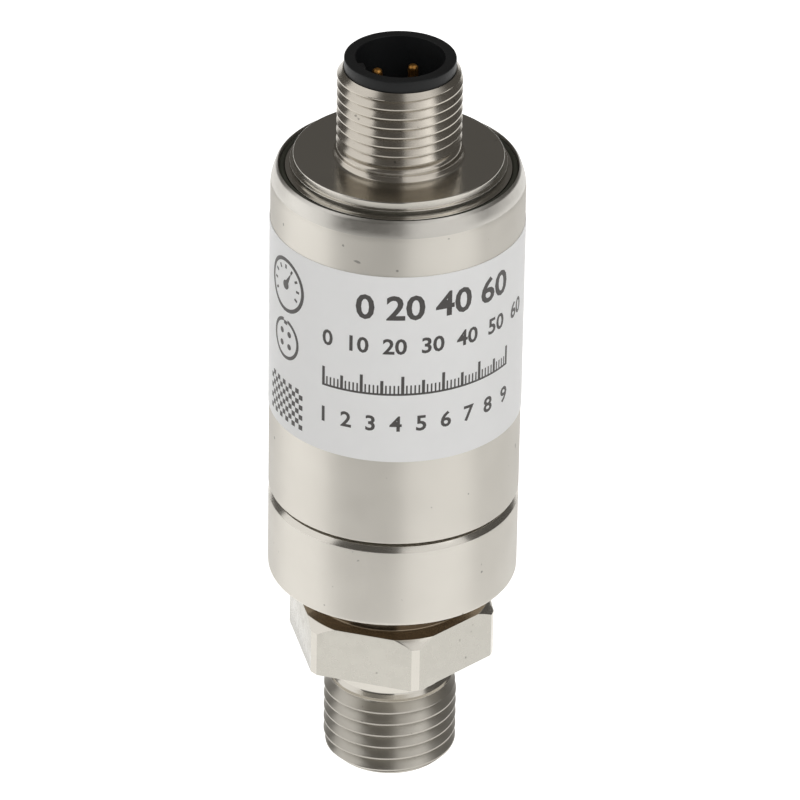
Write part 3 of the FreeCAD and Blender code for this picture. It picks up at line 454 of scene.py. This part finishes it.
def thread_tree():
    """Geometry Nodes tree that winds a thread between two levels, ending in plain circles."""
    tree = bpy.data.node_groups.new("screw_thread", "GeometryNodeTree")
    tree.interface.new_socket("Geometry", in_out="OUTPUT", socket_type="NodeSocketGeometry")
    for kind, names in THREAD_INPUTS.items():
        for name in names:
            tree.interface.new_socket(name, in_out="INPUT", socket_type="NodeSocket" + kind)
    given = tree.nodes.new("NodeGroupInput").outputs

    def maths(operation, first, second=0.0):
        """One step of the rule on numbers or sockets."""
        return add_node(tree, "ShaderNodeMath", {0: first, 1: second}, operation=operation)

    grid = add_node(tree, "GeometryNodeMeshGrid",
                    {"Size X": 1.0, "Size Y": 1.0,
                     "Vertices X": maths("ADD", given["Columns"], 1.0),
                     "Vertices Y": maths("ADD", given["Rows"], 1.0)})
    place = tree.nodes.new("GeometryNodeInputPosition").outputs[0]
    on_grid = add_node(tree, "ShaderNodeSeparateXYZ", {0: place}).node.outputs
    # Along the grid is one turn round the axis, and its rows are equal steps of winding.
    turn_share = maths("ADD", on_grid["X"], 0.5)
    row = maths("ROUND", maths("MULTIPLY", maths("ADD", on_grid["Y"], 0.5), given["Rows"]))
    winding = maths("ADD", given["Start"], maths("DIVIDE", row, given["Rows Per Pitch"]))
    level = maths("MULTIPLY", maths("ADD", winding, turn_share), given["Pitch"])
    level = maths("MINIMUM", maths("MAXIMUM", level, given["Low Level"]), given["High Level"])
    # Where it is between two crests, from 0 to 1: whole turns are added to stay above zero.
    past_crest = maths("SUBTRACT", winding, given["Crest Turn"])
    past_crest = maths("FRACT", maths("ADD", past_crest, WHOLE_TURNS))
    # The two flanks, from the crest's edge down to the root, and the groove between them.
    crest, root = given["Crest Share"], given["Root Share"]
    down = maths("DIVIDE", maths("SUBTRACT", past_crest, crest), maths("SUBTRACT", root, crest))
    up = maths("DIVIDE", maths("SUBTRACT", maths("SUBTRACT", 1.0, past_crest), crest),
               maths("SUBTRACT", maths("SUBTRACT", 1.0, root), crest))
    groove = maths("MAXIMUM", maths("MINIMUM", maths("MINIMUM", down, up), 1.0), 0.0)
    # Towards its ends the groove fades out, and the radius stays under a 45-degree chamfer.
    above = maths("SUBTRACT", level, given["Low Level"])
    below = maths("SUBTRACT", given["High Level"], level)
    low_fade = maths("MINIMUM", maths("DIVIDE", above, given["Low Fade"]), 1.0)
    high_fade = maths("MINIMUM", maths("DIVIDE", below, given["High Fade"]), 1.0)
    depth = maths("MULTIPLY", maths("MULTIPLY", groove, given["Thread Depth"]),
                  maths("MULTIPLY", low_fade, high_fade))
    radius = maths("SUBTRACT", given["Major Radius"], depth)
    radius = maths("MINIMUM", radius, maths("ADD", given["Low Radius"], above))
    radius = maths("MINIMUM", radius, maths("ADD", given["High Radius"], below))
    angle = maths("MULTIPLY", turn_share, 2 * math.pi)
    position = add_node(tree, "ShaderNodeCombineXYZ",
                        {"X": maths("MULTIPLY", radius, maths("COSINE", angle)),
                         "Y": maths("MULTIPLY", radius, maths("SINE", angle)), "Z": level})
    wound = add_node(tree, "GeometryNodeSetPosition", {"Geometry": grid, "Position": position})
    welded = add_node(tree, "GeometryNodeMergeByDistance",
                      {"Geometry": wound, "Distance": WELD_DISTANCE})
    real = add_node(tree, "GeometryNodeRealizeInstances", {"Geometry": welded})
    coated = add_node(tree, "GeometryNodeSetMaterial",
                      {"Geometry": real, "Material": given["Material"]})
    add_node(tree, "NodeGroupOutput", {"Geometry": coated})
    return tree


screw_thread = thread_tree()
print("thread tree with", len(screw_thread.nodes), "nodes")

# %% Winding a thread
ROWS_PER_PITCH = 16
FRONT_TURN = 0.75


def thread(name, material, crest_level, **sizes):
    """A wound thread as an open sleeve, from sizes in millimetres.

    crest_level is the height of one crest at the front, three quarters of a turn from +X.
    The low and high radii are those of the plain circles at the ends, and over the low and
    high fades the groove dies out.  The shares are parts of a pitch: half the width of a
    crest, and where the groove is deepest.
    """
    piece = bpy.data.objects.new(name, bpy.data.meshes.new(name))
    bpy.context.scene.collection.objects.link(piece)
    winder = piece.modifiers.new("thread", "NODES")
    winder.node_group = screw_thread
    pitch = sizes["Pitch"]
    crest = (crest_level / pitch - FRONT_TURN) % 1.0
    first = math.floor((sizes["Low Level"] / pitch - 1 - crest) * ROWS_PER_PITCH) - 1
    last = math.ceil((sizes["High Level"] / pitch - crest) * ROWS_PER_PITCH) + 1
    values = {key: value * (1.0 if "Share" in key else MM) for key, value in sizes.items()}
    values.update({"Start": crest + first / ROWS_PER_PITCH, "Crest Turn": crest,
                   "Columns": COLUMNS, "Rows": last - first, "Rows Per Pitch": ROWS_PER_PITCH,
                   "Material": material})
    for item in screw_thread.interface.items_tree:
        if item.item_type == "SOCKET" and item.in_out == "INPUT":
            winder[item.identifier] = values[item.name]
    applied(piece)
    print(name, "wound with", last - first, "rows")
    return piece


def joined(piece, sleeve, low, high, radius):
    """Swap the plain stretch of a turned piece between two levels for a wound sleeve.

    The stretch is what lies at or outside the radius; the rims of both are welded.
    """
    slack, weld = 0.001, 0.002 * MM
    shape = bmesh.new()
    shape.from_mesh(piece.data)
    plain = [face for face in shape.faces
             if all(low - slack < v.co.z / MM < high + slack
                    and v.co.xy.length / MM > radius - slack for v in face.verts)]
    bmesh.ops.delete(shape, geom=plain, context="FACES")
    shape.from_mesh(sleeve.data)
    bmesh.ops.remove_doubles(shape, verts=shape.verts, dist=weld)
    bmesh.ops.recalc_face_normals(shape, faces=shape.faces)
    shape.to_mesh(piece.data)
    open_edges = sum(1 for edge in shape.edges if not edge.is_manifold)
    shape.free()
    bpy.data.objects.remove(sleeve)
    print(piece.name, "after the thread:", open_edges, "open edges")


# %% [markdown]
# ## The port: thread, hexagon, neck and flange
#
# The whole lower end is one piece of bar: turned outside, bored from the tip, milled to a
# hexagon for the spanner, and threaded.  The hexagon is cut from the turned blank, as in
# the workshop, so that the flats meet the chamfers in their true curves.  Pushing flat
# sides out of a cylinder would miss those curves.

# %% Port blank
def levels(node):
    """The lowest and the highest level of a CAD node, in millimetres."""
    return [round(corner.z / MM, 3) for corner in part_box(node)]


# Levels up from the tip.
thread_low, thread_high = 0.0, 8.65
lip_level, relief_level = 8.7, 9.3
hexagon_low, hexagon_chamfer, hexagon_high = 12.6, 17.3, 18.15
flange_low, flange_chamfer, flange_high = 21.3, 29.62, 30.17
pocket_floor, port_top = 22.8, levels("port_body")[1]
# Radii, from the thread's two ends to the pressure bore.
thread_low_radius, thread_high_radius = 5.6, 5.7
lip_radius, relief_radius = 6.2, 5.54
hexagon_corner, hexagon_top_radius = 10.42, 9.7
neck_radius = 8.0
housing_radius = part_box("housing_tube")[1].x / MM
flange_top_radius, spigot_radius = 11.85, 11.0
pocket_radius, bore_radius, bore_chamfer = 9.55, 3.0, 0.3

port = lathe("port_with_hexagon", [
    (thread_low_radius, thread_low, 0), (thread_high_radius, thread_high, 0),
    (lip_radius, lip_level, 0.05), (lip_radius - 0.3, lip_level + 0.15, 0.15),
    (relief_radius, relief_level, 0.45), (relief_radius, hexagon_low, 0.35),
    (hexagon_corner, hexagon_low), (hexagon_corner, hexagon_chamfer),
    (hexagon_top_radius, hexagon_high),
    (neck_radius, hexagon_high, 0.15), (neck_radius, flange_low, 0.15),
    (housing_radius, flange_low, 0.5), (housing_radius, flange_chamfer, 0.12),
    (flange_top_radius, flange_high, 0.05), (spigot_radius, flange_high, 0.1),
    (spigot_radius, port_top), (pocket_radius, port_top),
    (pocket_radius, pocket_floor, 0.1), (bore_radius, pocket_floor, 0.1),
    (bore_radius, bore_chamfer), (bore_radius + bore_chamfer, 0.0),
])

# %% Milled flats
ACROSS_FLATS = 18.44
CORNER_TURN = math.radians(-90 + 13.7)


def hexagon_cutter():
    """A ring of six plates outside the hexagon, wider and taller than it."""
    outer_radius, low, high = 17.0, 10.0, 20.0
    shape = bmesh.new()
    turns = [CORNER_TURN + k * math.pi / 3 for k in range(6)]
    rings = []
    for radius in (ACROSS_FLATS / math.sqrt(3), outer_radius):
        for level in (low, high):
            rings.append([shape.verts.new((radius * MM * math.cos(turn),
                                           radius * MM * math.sin(turn), level * MM))
                          for turn in turns])
    inner_low, inner_high, outer_low, outer_high = rings
    for k in range(6):
        j = (k + 1) % 6
        for a, b in ((inner_low, inner_high), (inner_high, outer_high),
                     (outer_high, outer_low), (outer_low, inner_low)):
            shape.faces.new((a[k], a[j], b[j], b[k]))
    bmesh.ops.recalc_face_normals(shape, faces=shape.faces)
    return finished("cutter", shape)


cut(port, hexagon_cutter())


def on_flat(normal, centre, slack):
    """Whether a face lies in one of the hexagon's six flats."""
    return abs(normal.z) < slack and abs(centre.dot(normal) / MM - ACROSS_FLATS / 2) < slack


def break_flat_edges(piece, width):
    """Bevel the edges where a milled flat meets another surface."""
    shape = bmesh.new()
    shape.from_mesh(piece.data)

    def is_flat(face):
        return on_flat(face.normal, face.calc_center_median(), 0.001)

    flush = [edge for edge in shape.edges if all(is_flat(face) for face in edge.link_faces)]
    bmesh.ops.dissolve_limit(shape, angle_limit=math.radians(0.2), verts=shape.verts, edges=flush)
    rims = [edge for edge in shape.edges if len(edge.link_faces) == 2
            and is_flat(edge.link_faces[0]) != is_flat(edge.link_faces[1])]
    bmesh.ops.bevel(shape, geom=rims, offset=width * MM, segments=2, affect="EDGES", profile=0.5,
                    clamp_overlap=True)
    shape.to_mesh(piece.data)
    print(len(rims), "edges of the flats broken")
    shape.free()


break_flat_edges(port, width=0.07)

# %% Port thread
port_thread = thread("port_thread", thread_steel, crest_level=2.29, **{
    "Pitch": 1.337, "Major Radius": 6.5785, "Thread Depth": 0.70,
    "Crest Share": 1 / 16, "Root Share": 0.625,
    "Low Level": thread_low, "High Level": thread_high,
    "Low Radius": thread_low_radius, "High Radius": thread_high_radius,
    "Low Fade": 0.001, "High Fade": 0.001})
joined(port, port_thread, thread_low, thread_high, thread_low_radius)
smooth(port)

# %% Port finishes
# The flange and its wall stay satin.  Its chamfer, the relief, the hexagon's turned faces
# and the bore are bright, and each other finish has its own stretch.
SATIN, BRIGHT, MILLED, THREADED, NECK_SHADE = range(5)
dress(port, "port_steel", "port_body",
      materials=[port_steel, plug_steel, milled_steel, thread_steel, neck_shade_steel])


def port_finish(face):
    """The index of the finish that a face of the port has."""
    reach, level = face.center.xy.length / MM, face.center.z / MM
    if on_flat(face.normal, face.center, 0.01):
        return MILLED
    if level < thread_high and reach > bore_radius + 2.0:
        return THREADED
    # The neck under the flange gets the painted shade.
    if hexagon_high - 0.1 < level < flange_low + 0.01 and reach < hexagon_top_radius - 0.1:
        return NECK_SHADE
    if level < flange_low or (level > flange_chamfer - 0.1 and reach < housing_radius - 0.02):
        return BRIGHT
    return SATIN


for face in port.data.polygons:
    face.material_index = port_finish(face)

# %% [markdown]
# ## The housing tube
#
# The tube slides over the port's spigot and stops just short of the flange, which leaves a
# thin dark joint line.  Its top edge is rolled inwards round the end plate and blasted with
# glass beads, so the roll is darker than the satin wall and spreads light evenly.  The two
# finishes are two materials on one mesh, chosen face by face from the height.

# %% Housing tube
tube_low, tube_high = levels("housing_tube")
plate_low, plug_top = levels("connector_shell")
roll_low, roll_radius = tube_high - 1.6, 4.0
brow_radius, seat_radius = 11.78, 11.5

tube = lathe("housing_shell", [
    (spigot_radius, tube_low), (housing_radius, tube_low, 0.25),
    (housing_radius, roll_low, roll_radius), (brow_radius, tube_high - 0.25, 0.6),
    (seat_radius + 0.05, tube_high, 0.1), (seat_radius, tube_high - 0.1),
    (seat_radius, plate_low), (spigot_radius, plate_low),
])
smooth(tube)
dress(tube, "housing_steel", "housing_tube", materials=[housing_steel, blasted_steel])
for face in tube.data.polygons:
    level, reach = face.center.z / MM, face.center.xy.length / MM
    face.material_index = int(level > roll_low and reach > seat_radius + 0.02)

# %% [markdown]
# ## The plug shell
#
# The end plate and the M12 spigot are turned from one bar.  The plate steps down to the
# rim in two narrow ledges, and a round rubber ring fills the gap to the rolled edge.  Each
# step's broken edge is a bright line, so the profile keeps every one of them.

# %% End plate and spigot
seal_seat, ledge_top, step_top, plate_top = 65.05, 65.65, 66.33, 67.05
ledge_radius, step_radius, plate_radius = 10.88, 10.42, 10.12
recess_radius, recess_top = 9.0, plate_low + 2.0
foot_radius, plug_thread_low = 6.5, 67.9
plug_radius, plug_end_radius, plug_bore = 6.0, 5.45, 4.9

shell = lathe("plug_shell", [
    (recess_radius, plate_low), (seat_radius, plate_low), (seat_radius, seal_seat),
    (ledge_radius, seal_seat), (ledge_radius, ledge_top, 0.06),
    (step_radius, ledge_top), (step_radius, step_top, 0.06),
    (plate_radius, step_top), (plate_radius, plate_top, 0.15),
    (foot_radius, plate_top, 0.08), (foot_radius - 0.22, plate_top + 0.08, 0.25),
    (plug_radius + 0.03, plate_top + 0.45, 0.4), (plug_radius, plug_thread_low, 0),
    (plug_end_radius, plug_top, 0), (plug_bore, plug_top),
    (plug_bore, recess_top), (recess_radius, recess_top),
])

# %% Plug thread
# The plug's thread takes the steel with the painted shade.
plug_thread = thread("plug_thread", plug_thread_shaded_steel, crest_level=70.7, **{
    "Pitch": 1.0, "Major Radius": plug_radius, "Thread Depth": 0.50,
    "Crest Share": 1 / 16, "Root Share": 0.6875,
    "Low Level": plug_thread_low, "High Level": plug_top,
    "Low Radius": plug_radius, "High Radius": plug_end_radius,
    "Low Fade": 0.5, "High Fade": 0.08})
joined(shell, plug_thread, plug_thread_low, plug_top, plug_end_radius)
smooth(shell)
dress(shell, "connector_steel", "connector_shell", materials=[plug_steel, plug_thread_shaded_steel])
for face in shell.data.polygons:
    level, reach = face.center.z / MM, face.center.xy.length / MM
    face.material_index = int(level > plate_top + 0.05 and reach < foot_radius - 0.1)

# %% [markdown]
# ## Rubber and plastic
#
# The ring between plate and rim is fluoro rubber: matt, nearly black with a touch of olive.
# The insert that carries the contacts is moulded polyamide with glass fibre, black with a
# faint sheen and a very fine grain.  Both get a noise on colour, roughness and surface.
# Plated gold takes the same recipe with a metallic surface, soft and warm without rings.

# %% Soft and moulded finishes
def moulded(name, colour, roughness, grain, depth, spread=0.15, **extra):
    """A plain moulded finish, with the grain's size and depth in millimetres.

    The colour's brightness varies by the spread, and extra inputs go to the surface.
    """
    patches = 2.5
    material, tree = new_material(name)
    place = tree.nodes.new("ShaderNodeTexCoord").outputs["Object"]
    fine = add_node(tree, "ShaderNodeTexNoise",
                    {"Vector": place, "Scale": 1 / (grain * MM), "Detail": 3.0})
    broad = add_node(tree, "ShaderNodeTexNoise",
                     {"Vector": place, "Scale": 1 / (patches * MM), "Detail": 2.0})
    tone = add_node(tree, "ShaderNodeMapRange",
                    {"Value": broad, **NOISE_SPAN, "To Min": 1 - spread, "To Max": 1 + spread})
    tint = add_node(tree, "ShaderNodeVectorMath", {0: linear(colour)[:3], "Scale": tone},
                    operation="SCALE")
    grade = add_node(tree, "ShaderNodeMapRange",
                     {"Value": fine, **NOISE_SPAN,
                      "To Min": roughness - 0.05, "To Max": roughness + 0.05})
    bump = add_node(tree, "ShaderNodeBump",
                    {"Height": fine, "Distance": depth * MM, "Strength": 0.6})
    surface = add_node(tree, "ShaderNodeBsdfPrincipled",
                       {"Base Color": tint, "Roughness": grade, "Normal": bump, **extra})
    add_node(tree, "ShaderNodeOutputMaterial", {"Surface": surface})
    return material


rubber = moulded("fluoro_rubber", "#33342B", 0.55, grain=0.25, depth=0.004)
polyamide = moulded("glass_filled_polyamide", "#18191A", 0.45, grain=0.18, depth=0.004,
                    **{"Specular IOR Level": 0.25})
gold = moulded("gold_plated_copper_alloy", "#BE8B49", 0.46, grain=0.3, depth=0.001,
               spread=0.05, Metallic=1.0)

# %% Rim seal
ring_half = 0.31
ring_radius, ring_level = ledge_radius + ring_half, seal_seat + ring_half
section = [2 * math.pi * k / 24 for k in range(24)]
seal = lathe("rim_o_ring", [(ring_radius + ring_half * math.cos(turn),
                             ring_level + ring_half * math.sin(turn), 0) for turn in section])
smooth(seal, sharp_degrees=60)
dress(seal, "seal_rubber", "rim_seal", materials=[rubber])

# %% [markdown]
# ## The contact insert
#
# The insert fills the spigot, caps its end with a collar, and has a round cavity with the
# key that lets a socket go in one way only.  It is turned like the steel, although the real
# one is moulded, and the key is a block let into the cavity's wall.

# %% Contact insert
insert_low, collar_top = levels("contact_carrier")
groove_low, groove_high, cavity_floor = 66.2, 67.4, 68.5
groove_radius, cavity_radius, collar_radius = 4.05, 4.285, 5.355
KEY_TURN = math.radians(195.7)

insert = lathe("contact_insert", [
    (0.0, insert_low), (plug_bore, insert_low, 0.1),
    (plug_bore, groove_low), (groove_radius, groove_low),
    (groove_radius, groove_high), (plug_bore, groove_high),
    (plug_bore, plug_top), (collar_radius, plug_top),
    (collar_radius, collar_top, 0.15), (cavity_radius, collar_top, 0.08),
    (cavity_radius, cavity_floor), (0.0, cavity_floor),
], closed=False)

# %% Bores for the contacts and the vent
def bored(piece, holes, low, high):
    """Drill upright holes through a piece, each given as (x, y, radius) in millimetres."""
    for x, y, radius in holes:
        middle = Vector((x, y, (low + high) / 2)) * MM
        shape = bmesh.new()
        bmesh.ops.create_cone(shape, cap_ends=True, segments=32, radius1=radius * MM,
                              radius2=radius * MM, depth=(high - low) * MM,
                              matrix=Matrix.Translation(middle))
        cut(piece, finished("drill", shape))


VENT_RADIUS, PIN_RADIUS, PIN_CIRCLE, PIN_ROOM = 0.5, 0.5, 2.5, 0.01
holes = [(0, 0, VENT_RADIUS)]
for n in range(4):
    turn = KEY_TURN + math.radians(90 * n - 45)
    holes.append((PIN_CIRCLE * math.cos(turn), PIN_CIRCLE * math.sin(turn), PIN_RADIUS + PIN_ROOM))
bored(insert, holes, insert_low - 1, cavity_floor + 0.5)

# %% Coding key
KEY_REACH, KEY_RECESS, KEY_HALF_WIDTH, KEY_ROUND = 0.8, 0.5, 0.6, 0.12


def key_block():
    """The coding key: a block with softened edges, standing out of the cavity's wall."""
    inner, outer = cavity_radius - KEY_REACH, 4.6
    low, high = cavity_floor - 0.2, collar_top - KEY_RECESS
    shape = bmesh.new()
    bmesh.ops.create_cube(shape, size=1.0)
    for v in shape.verts:
        v.co = Vector((inner if v.co.x < 0 else outer,
                       KEY_HALF_WIDTH * (1 if v.co.y > 0 else -1),
                       high if v.co.z > 0 else low)) * MM
    bmesh.ops.bevel(shape, geom=shape.edges[:], offset=KEY_ROUND * MM, segments=3,
                    affect="EDGES", profile=0.5)
    bmesh.ops.rotate(shape, verts=shape.verts, cent=(0, 0, 0),
                     matrix=Matrix.Rotation(KEY_TURN, 3, "Z"))
    return finished("insert_key", shape)


key = key_block()
for piece in (insert, key):
    smooth(piece)
dress(insert, "carrier_plastic", "contact_carrier", materials=[polyamide])
dress(key, "carrier_plastic", materials=[polyamide])

# %% [markdown]
# ## The label
#
# A white polyester film, smooth with a soft sheen, is wrapped round the tube and leaves a
# narrow bare stretch at the back.  Shapes that lie on a round wall are easiest to make flat,
# in millimetres along and up, and then to bend: the first becomes an angle, the second a
# height.  Long faces are first split every half millimetre, because a straight edge can't
# bend.

# %% Bending helpers
film_low, film_high = levels("label")
film_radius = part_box("label")[1].x / MM
FILM_LENGTH = 70.0
BEND_STEP = 0.5


def bent(shape, radius):
    """Bend a flat bmesh, drawn in millimetres along and up, round the axis."""
    along = [v.co.x for v in shape.verts]
    for k in range(math.ceil(min(along) / BEND_STEP), math.floor(max(along) / BEND_STEP) + 1):
        bmesh.ops.bisect_plane(shape, geom=shape.verts[:] + shape.edges[:] + shape.faces[:],
                               dist=1e-5, plane_co=(k * BEND_STEP, 0, 0), plane_no=(1, 0, 0))
    for face in shape.faces:
        face.normal_update()
        if face.normal.z < 0:
            face.normal_flip()
    for v in shape.verts:
        turn = -math.pi / 2 + v.co.x / radius
        v.co = Vector((radius * math.cos(turn), radius * math.sin(turn), v.co.y)) * MM
    return shape


# %% Flat shapes for the label
def patch(shape, points):
    """Add a flat face through (along, up) points."""
    shape.faces.new([shape.verts.new((x, y, 0)) for x, y in points])


def plate(shape, left, low, wide, tall, corner=0.0):
    """Add a flat rectangle, with round corners where a radius is given."""
    xs, ys = (left + corner, left + wide - corner), (low + corner, low + tall - corner)
    points = []
    for x, y, start in ((xs[1], ys[1], 0), (xs[0], ys[1], 90), (xs[0], ys[0], 180),
                        (xs[1], ys[0], 270)):
        for k in range(5 if corner else 1):
            turn = math.radians(start + 90 / 4 * k)
            points.append((x + corner * math.cos(turn), y + corner * math.sin(turn)))
    patch(shape, points)


def ring(shape, x, y, outer, inner, start=0, end=360, steps=48):
    """Add a flat ring, or a part of one, in counterclockwise degrees from start to end."""
    for k in range(steps):
        a, b = (math.radians(start + (end - start) * n / steps) for n in (k, k + 1))
        corners = [(inner, a), (outer, a), (outer, b), (inner, b)]
        if inner == 0:
            corners.pop(0)
        patch(shape, [(x + r * math.cos(t), y + r * math.sin(t)) for r, t in corners])


def numbers(shape, text, left, low, height, width, weight):
    """Add plain numbers in the built-in font, scaled to a height and a width."""
    curve = bpy.data.curves.new("numbers", "FONT")
    curve.body, curve.offset, curve.resolution_u = text, weight, 3
    holder = bpy.data.objects.new("numbers", curve)
    bpy.context.scene.collection.objects.link(holder)
    bpy.context.view_layer.update()
    source = holder.evaluated_get(bpy.context.evaluated_depsgraph_get())
    mesh = bpy.data.meshes.new_from_object(source)
    xs, ys = [v.co.x for v in mesh.vertices], [v.co.y for v in mesh.vertices]
    for v in mesh.vertices:
        v.co = ((v.co.x - min(xs)) / (max(xs) - min(xs)) * width + left,
                (v.co.y - min(ys)) / (max(ys) - min(ys)) * height + low, 0)
    shape.from_mesh(mesh)
    bpy.data.objects.remove(holder)
    bpy.data.curves.remove(curve)
    bpy.data.meshes.remove(mesh)


# %% Film
# The ink's face lies at the CAD label's radius, less a little, and the film just under it.
INK_INSET, FILM_INSET, FILM_THICKNESS, FILM_CORNER = 0.005, 0.015, 0.06, 0.6
white_film = moulded("white_polyester_film", "#F3F3F3", 0.38, grain=0.4, depth=0.002,
                     spread=0.01)
sheet = bmesh.new()
plate(sheet, -FILM_LENGTH / 2, film_low, FILM_LENGTH, film_high - film_low, FILM_CORNER)
film = finished("label_film", bent(sheet, film_radius - FILM_INSET))
back = film.modifiers.new("thickness", "SOLIDIFY")
back.thickness, back.offset = FILM_THICKNESS * MM, -1.0
applied(film)
smooth(film, sharp_degrees=40)
dress(film, "label_film", "label", materials=[white_film])

# %% [markdown]
# ## Generic print
#
# Such labels carry a column of symbols and a few lines of data in dark grey ink, matt
# against the film's sheen.  The ones here are made up: a dial with a needle, the four
# contacts as seen from the front, and a plain checked field.  Rows of numbers and a ruler,
# as on a dial, stand where the data would be.  The label was stuck on a little askew, so the
# whole print rises to the right.  Ink is far thinner than the film, so it is one layer just
# above it.

# %% Symbols
print_ink = moulded("dark_grey_print", "#454240", 0.45, grain=0.2, depth=0.0005, spread=0.08)
ink = bmesh.new()
SYMBOLS_X = -12.7


def heading(degrees):
    """The direction at an angle, counterclockwise from the right."""
    turn = math.radians(degrees)
    return math.cos(turn), math.sin(turn)


def dial(shape, x, y):
    """A dial: a ring, a hub, nine marks and a needle."""
    mark_near, mark_far, mark_half, needle, needle_half = 1.75, 2.2, 0.13, 1.9, 0.3
    ring(shape, x, y, 2.9, 2.5)
    ring(shape, x, y, 0.5, 0.0, steps=16)
    for k in range(9):
        dx, dy = heading(210 - 30 * k)
        patch(shape, [(x + r * dx - w * dy, y + r * dy + w * dx)
                      for r, w in ((mark_near, mark_half), (mark_near, -mark_half),
                                   (mark_far, -mark_half), (mark_far, mark_half))])
    dx, dy = heading(60)
    patch(shape, [(x + r * dx - w * dy, y + r * dy + w * dx)
                  for r, w in ((0, needle_half), (0, -needle_half), (needle, 0))])


def plug_face(shape, x, y):
    """The plug from the front: a circle with its notch, and four contacts."""
    contact_circle, contact_radius = 0.95, 0.32
    ring(shape, x, y, 2.2, 1.85, start=100, end=440)
    for k in range(4):
        dx, dy = heading(45 + 90 * k)
        ring(shape, x + contact_circle * dx, y + contact_circle * dy, contact_radius, 0.0,
             steps=16)
    plate(shape, x - 0.3, y + 1.55, 0.6, 0.4)


def checked_field(shape, left, low, cell, columns, lines):
    """A field of small squares, each second one printed, with a hair of room between."""
    for column in range(columns):
        for line in range(lines):
            if (column + line) % 2 == 0:
                plate(shape, left + column * cell, low + line * cell, cell * 0.96, cell * 0.96)


dial(ink, SYMBOLS_X, 56.1)
plug_face(ink, SYMBOLS_X, 50.2)
checked_field(ink, -15.9, 41.2, cell=0.55, columns=11, lines=8)
print("symbols:", len(ink.faces), "faces")

# %% Rows of numbers and a ruler
ROWS_LEFT, STROKE = -7.4, 0.022
for row, left, low, height, width in (("0 20 40 60", -3.9, 55.5, 2.75, 16.4),
                                      ("0  10  20  30  40  50  60", ROWS_LEFT, 51.8, 1.75, 23.2),
                                      ("1  2  3  4  5  6  7  8  9", ROWS_LEFT, 43.3, 1.75, 20.4)):
    numbers(ink, row, left, low, height, width, STROKE)


def ruler(shape, left, low, ticks, step):
    """A base line with a tick at each step: every fifth is thicker, every tenth is longest."""
    thick, thin, base = 0.3, 0.16, 0.22
    plate(shape, left, low, (ticks - 1) * step + thick, base)
    for k in range(ticks):
        tall = 1.9 if k % 10 == 0 else 1.4 if k % 5 == 0 else 0.9
        wide = thick if k % 5 == 0 else thin
        plate(shape, left + step * k + (thick - wide) / 2, low + 0.2, wide, tall)


ruler(ink, ROWS_LEFT, 47.3, ticks=51, step=0.4)
PRINT_RISE = math.tan(math.radians(0.9))
for v in ink.verts:
    v.co.y += v.co.x * PRINT_RISE
inked = finished("label_print", bent(ink, film_radius - INK_INSET))
dress(inked, "label_film", materials=[print_ink])

# %% [markdown]
# ## The parts inside
#
# The sensor, its oil, the boards, the glass seals and the small parts between them keep
# their CAD shapes, because those are right as they are.  Each gets the finish of its real
# material, so that the inside looks right when the part is opened or cut.

# %% Inner finishes
# Moulded epoxy of chips: nearly black, with a fine matt grain.
chip_epoxy = moulded("black_epoxy_moulding_compound", "#1D1D20", 0.55, grain=0.08, depth=0.002)
# Solder mask over glass laminate: deep green with a coated sheen.
solder_mask = moulded("green_solder_mask_laminate", "#14523A", 0.35, grain=0.6, depth=0.001)
# Polyimide film: amber and smooth.
sleeve_film = moulded("amber_polyimide_sleeve", "#B87A2E", 0.30, grain=0.4, depth=0.001)
# Expanded PTFE: white and chalky.
expanded_ptfe = moulded("white_expanded_ptfe", "#F0F0EC", 0.62, grain=0.05, depth=0.003)
# Sawn and lapped silicon: dark grey, half a mirror.
sawn_silicon = moulded("lapped_silicon", "#5B5F66", 0.22, grain=0.2, depth=0.0004,
                       spread=0.04, Metallic=0.6)
# Sealing glass, fused dark: glossy.
seal_glass = moulded("dark_borosilicate_glass", "#23332F", 0.12, grain=0.5, depth=0.0003,
                     spread=0.04)
# Sintered alumina: creamy white with a dense fine grain.
alumina = moulded("sintered_alumina", "#E6E1D6", 0.48, grain=0.05, depth=0.001)
inner_finishes = {
    inner_steel: ("vent_tube", "fill_ball", "retaining_ring", "isolating_diaphragm",
                  "capsule_body"),
    gold: ("header_pins", *(f"contact_pin_{n}" for n in (1, 2, 3, 4))),
    seal_glass: ("glass_seals", "die_pedestal"),
    alumina: ("board_capacitors", "filler_insert"),
    chip_epoxy: ("signal_processor", "suppressor_diodes"),
    solder_mask: ("compensation_board", "connector_board", "main_board"),
    sleeve_film: ("insulating_sleeve",),
    expanded_ptfe: ("vent_membrane",),
    sawn_silicon: ("sensing_die",),
    rubber: ("carrier_o_ring", "sensor_o_ring"),
}
for material, names in inner_finishes.items():
    for name in names:
        nodes[name].data.materials.clear()
        nodes[name].data.materials.append(material)
print(sum(map(len, inner_finishes.values())), "inner nodes finished of", len(nodes), "nodes")
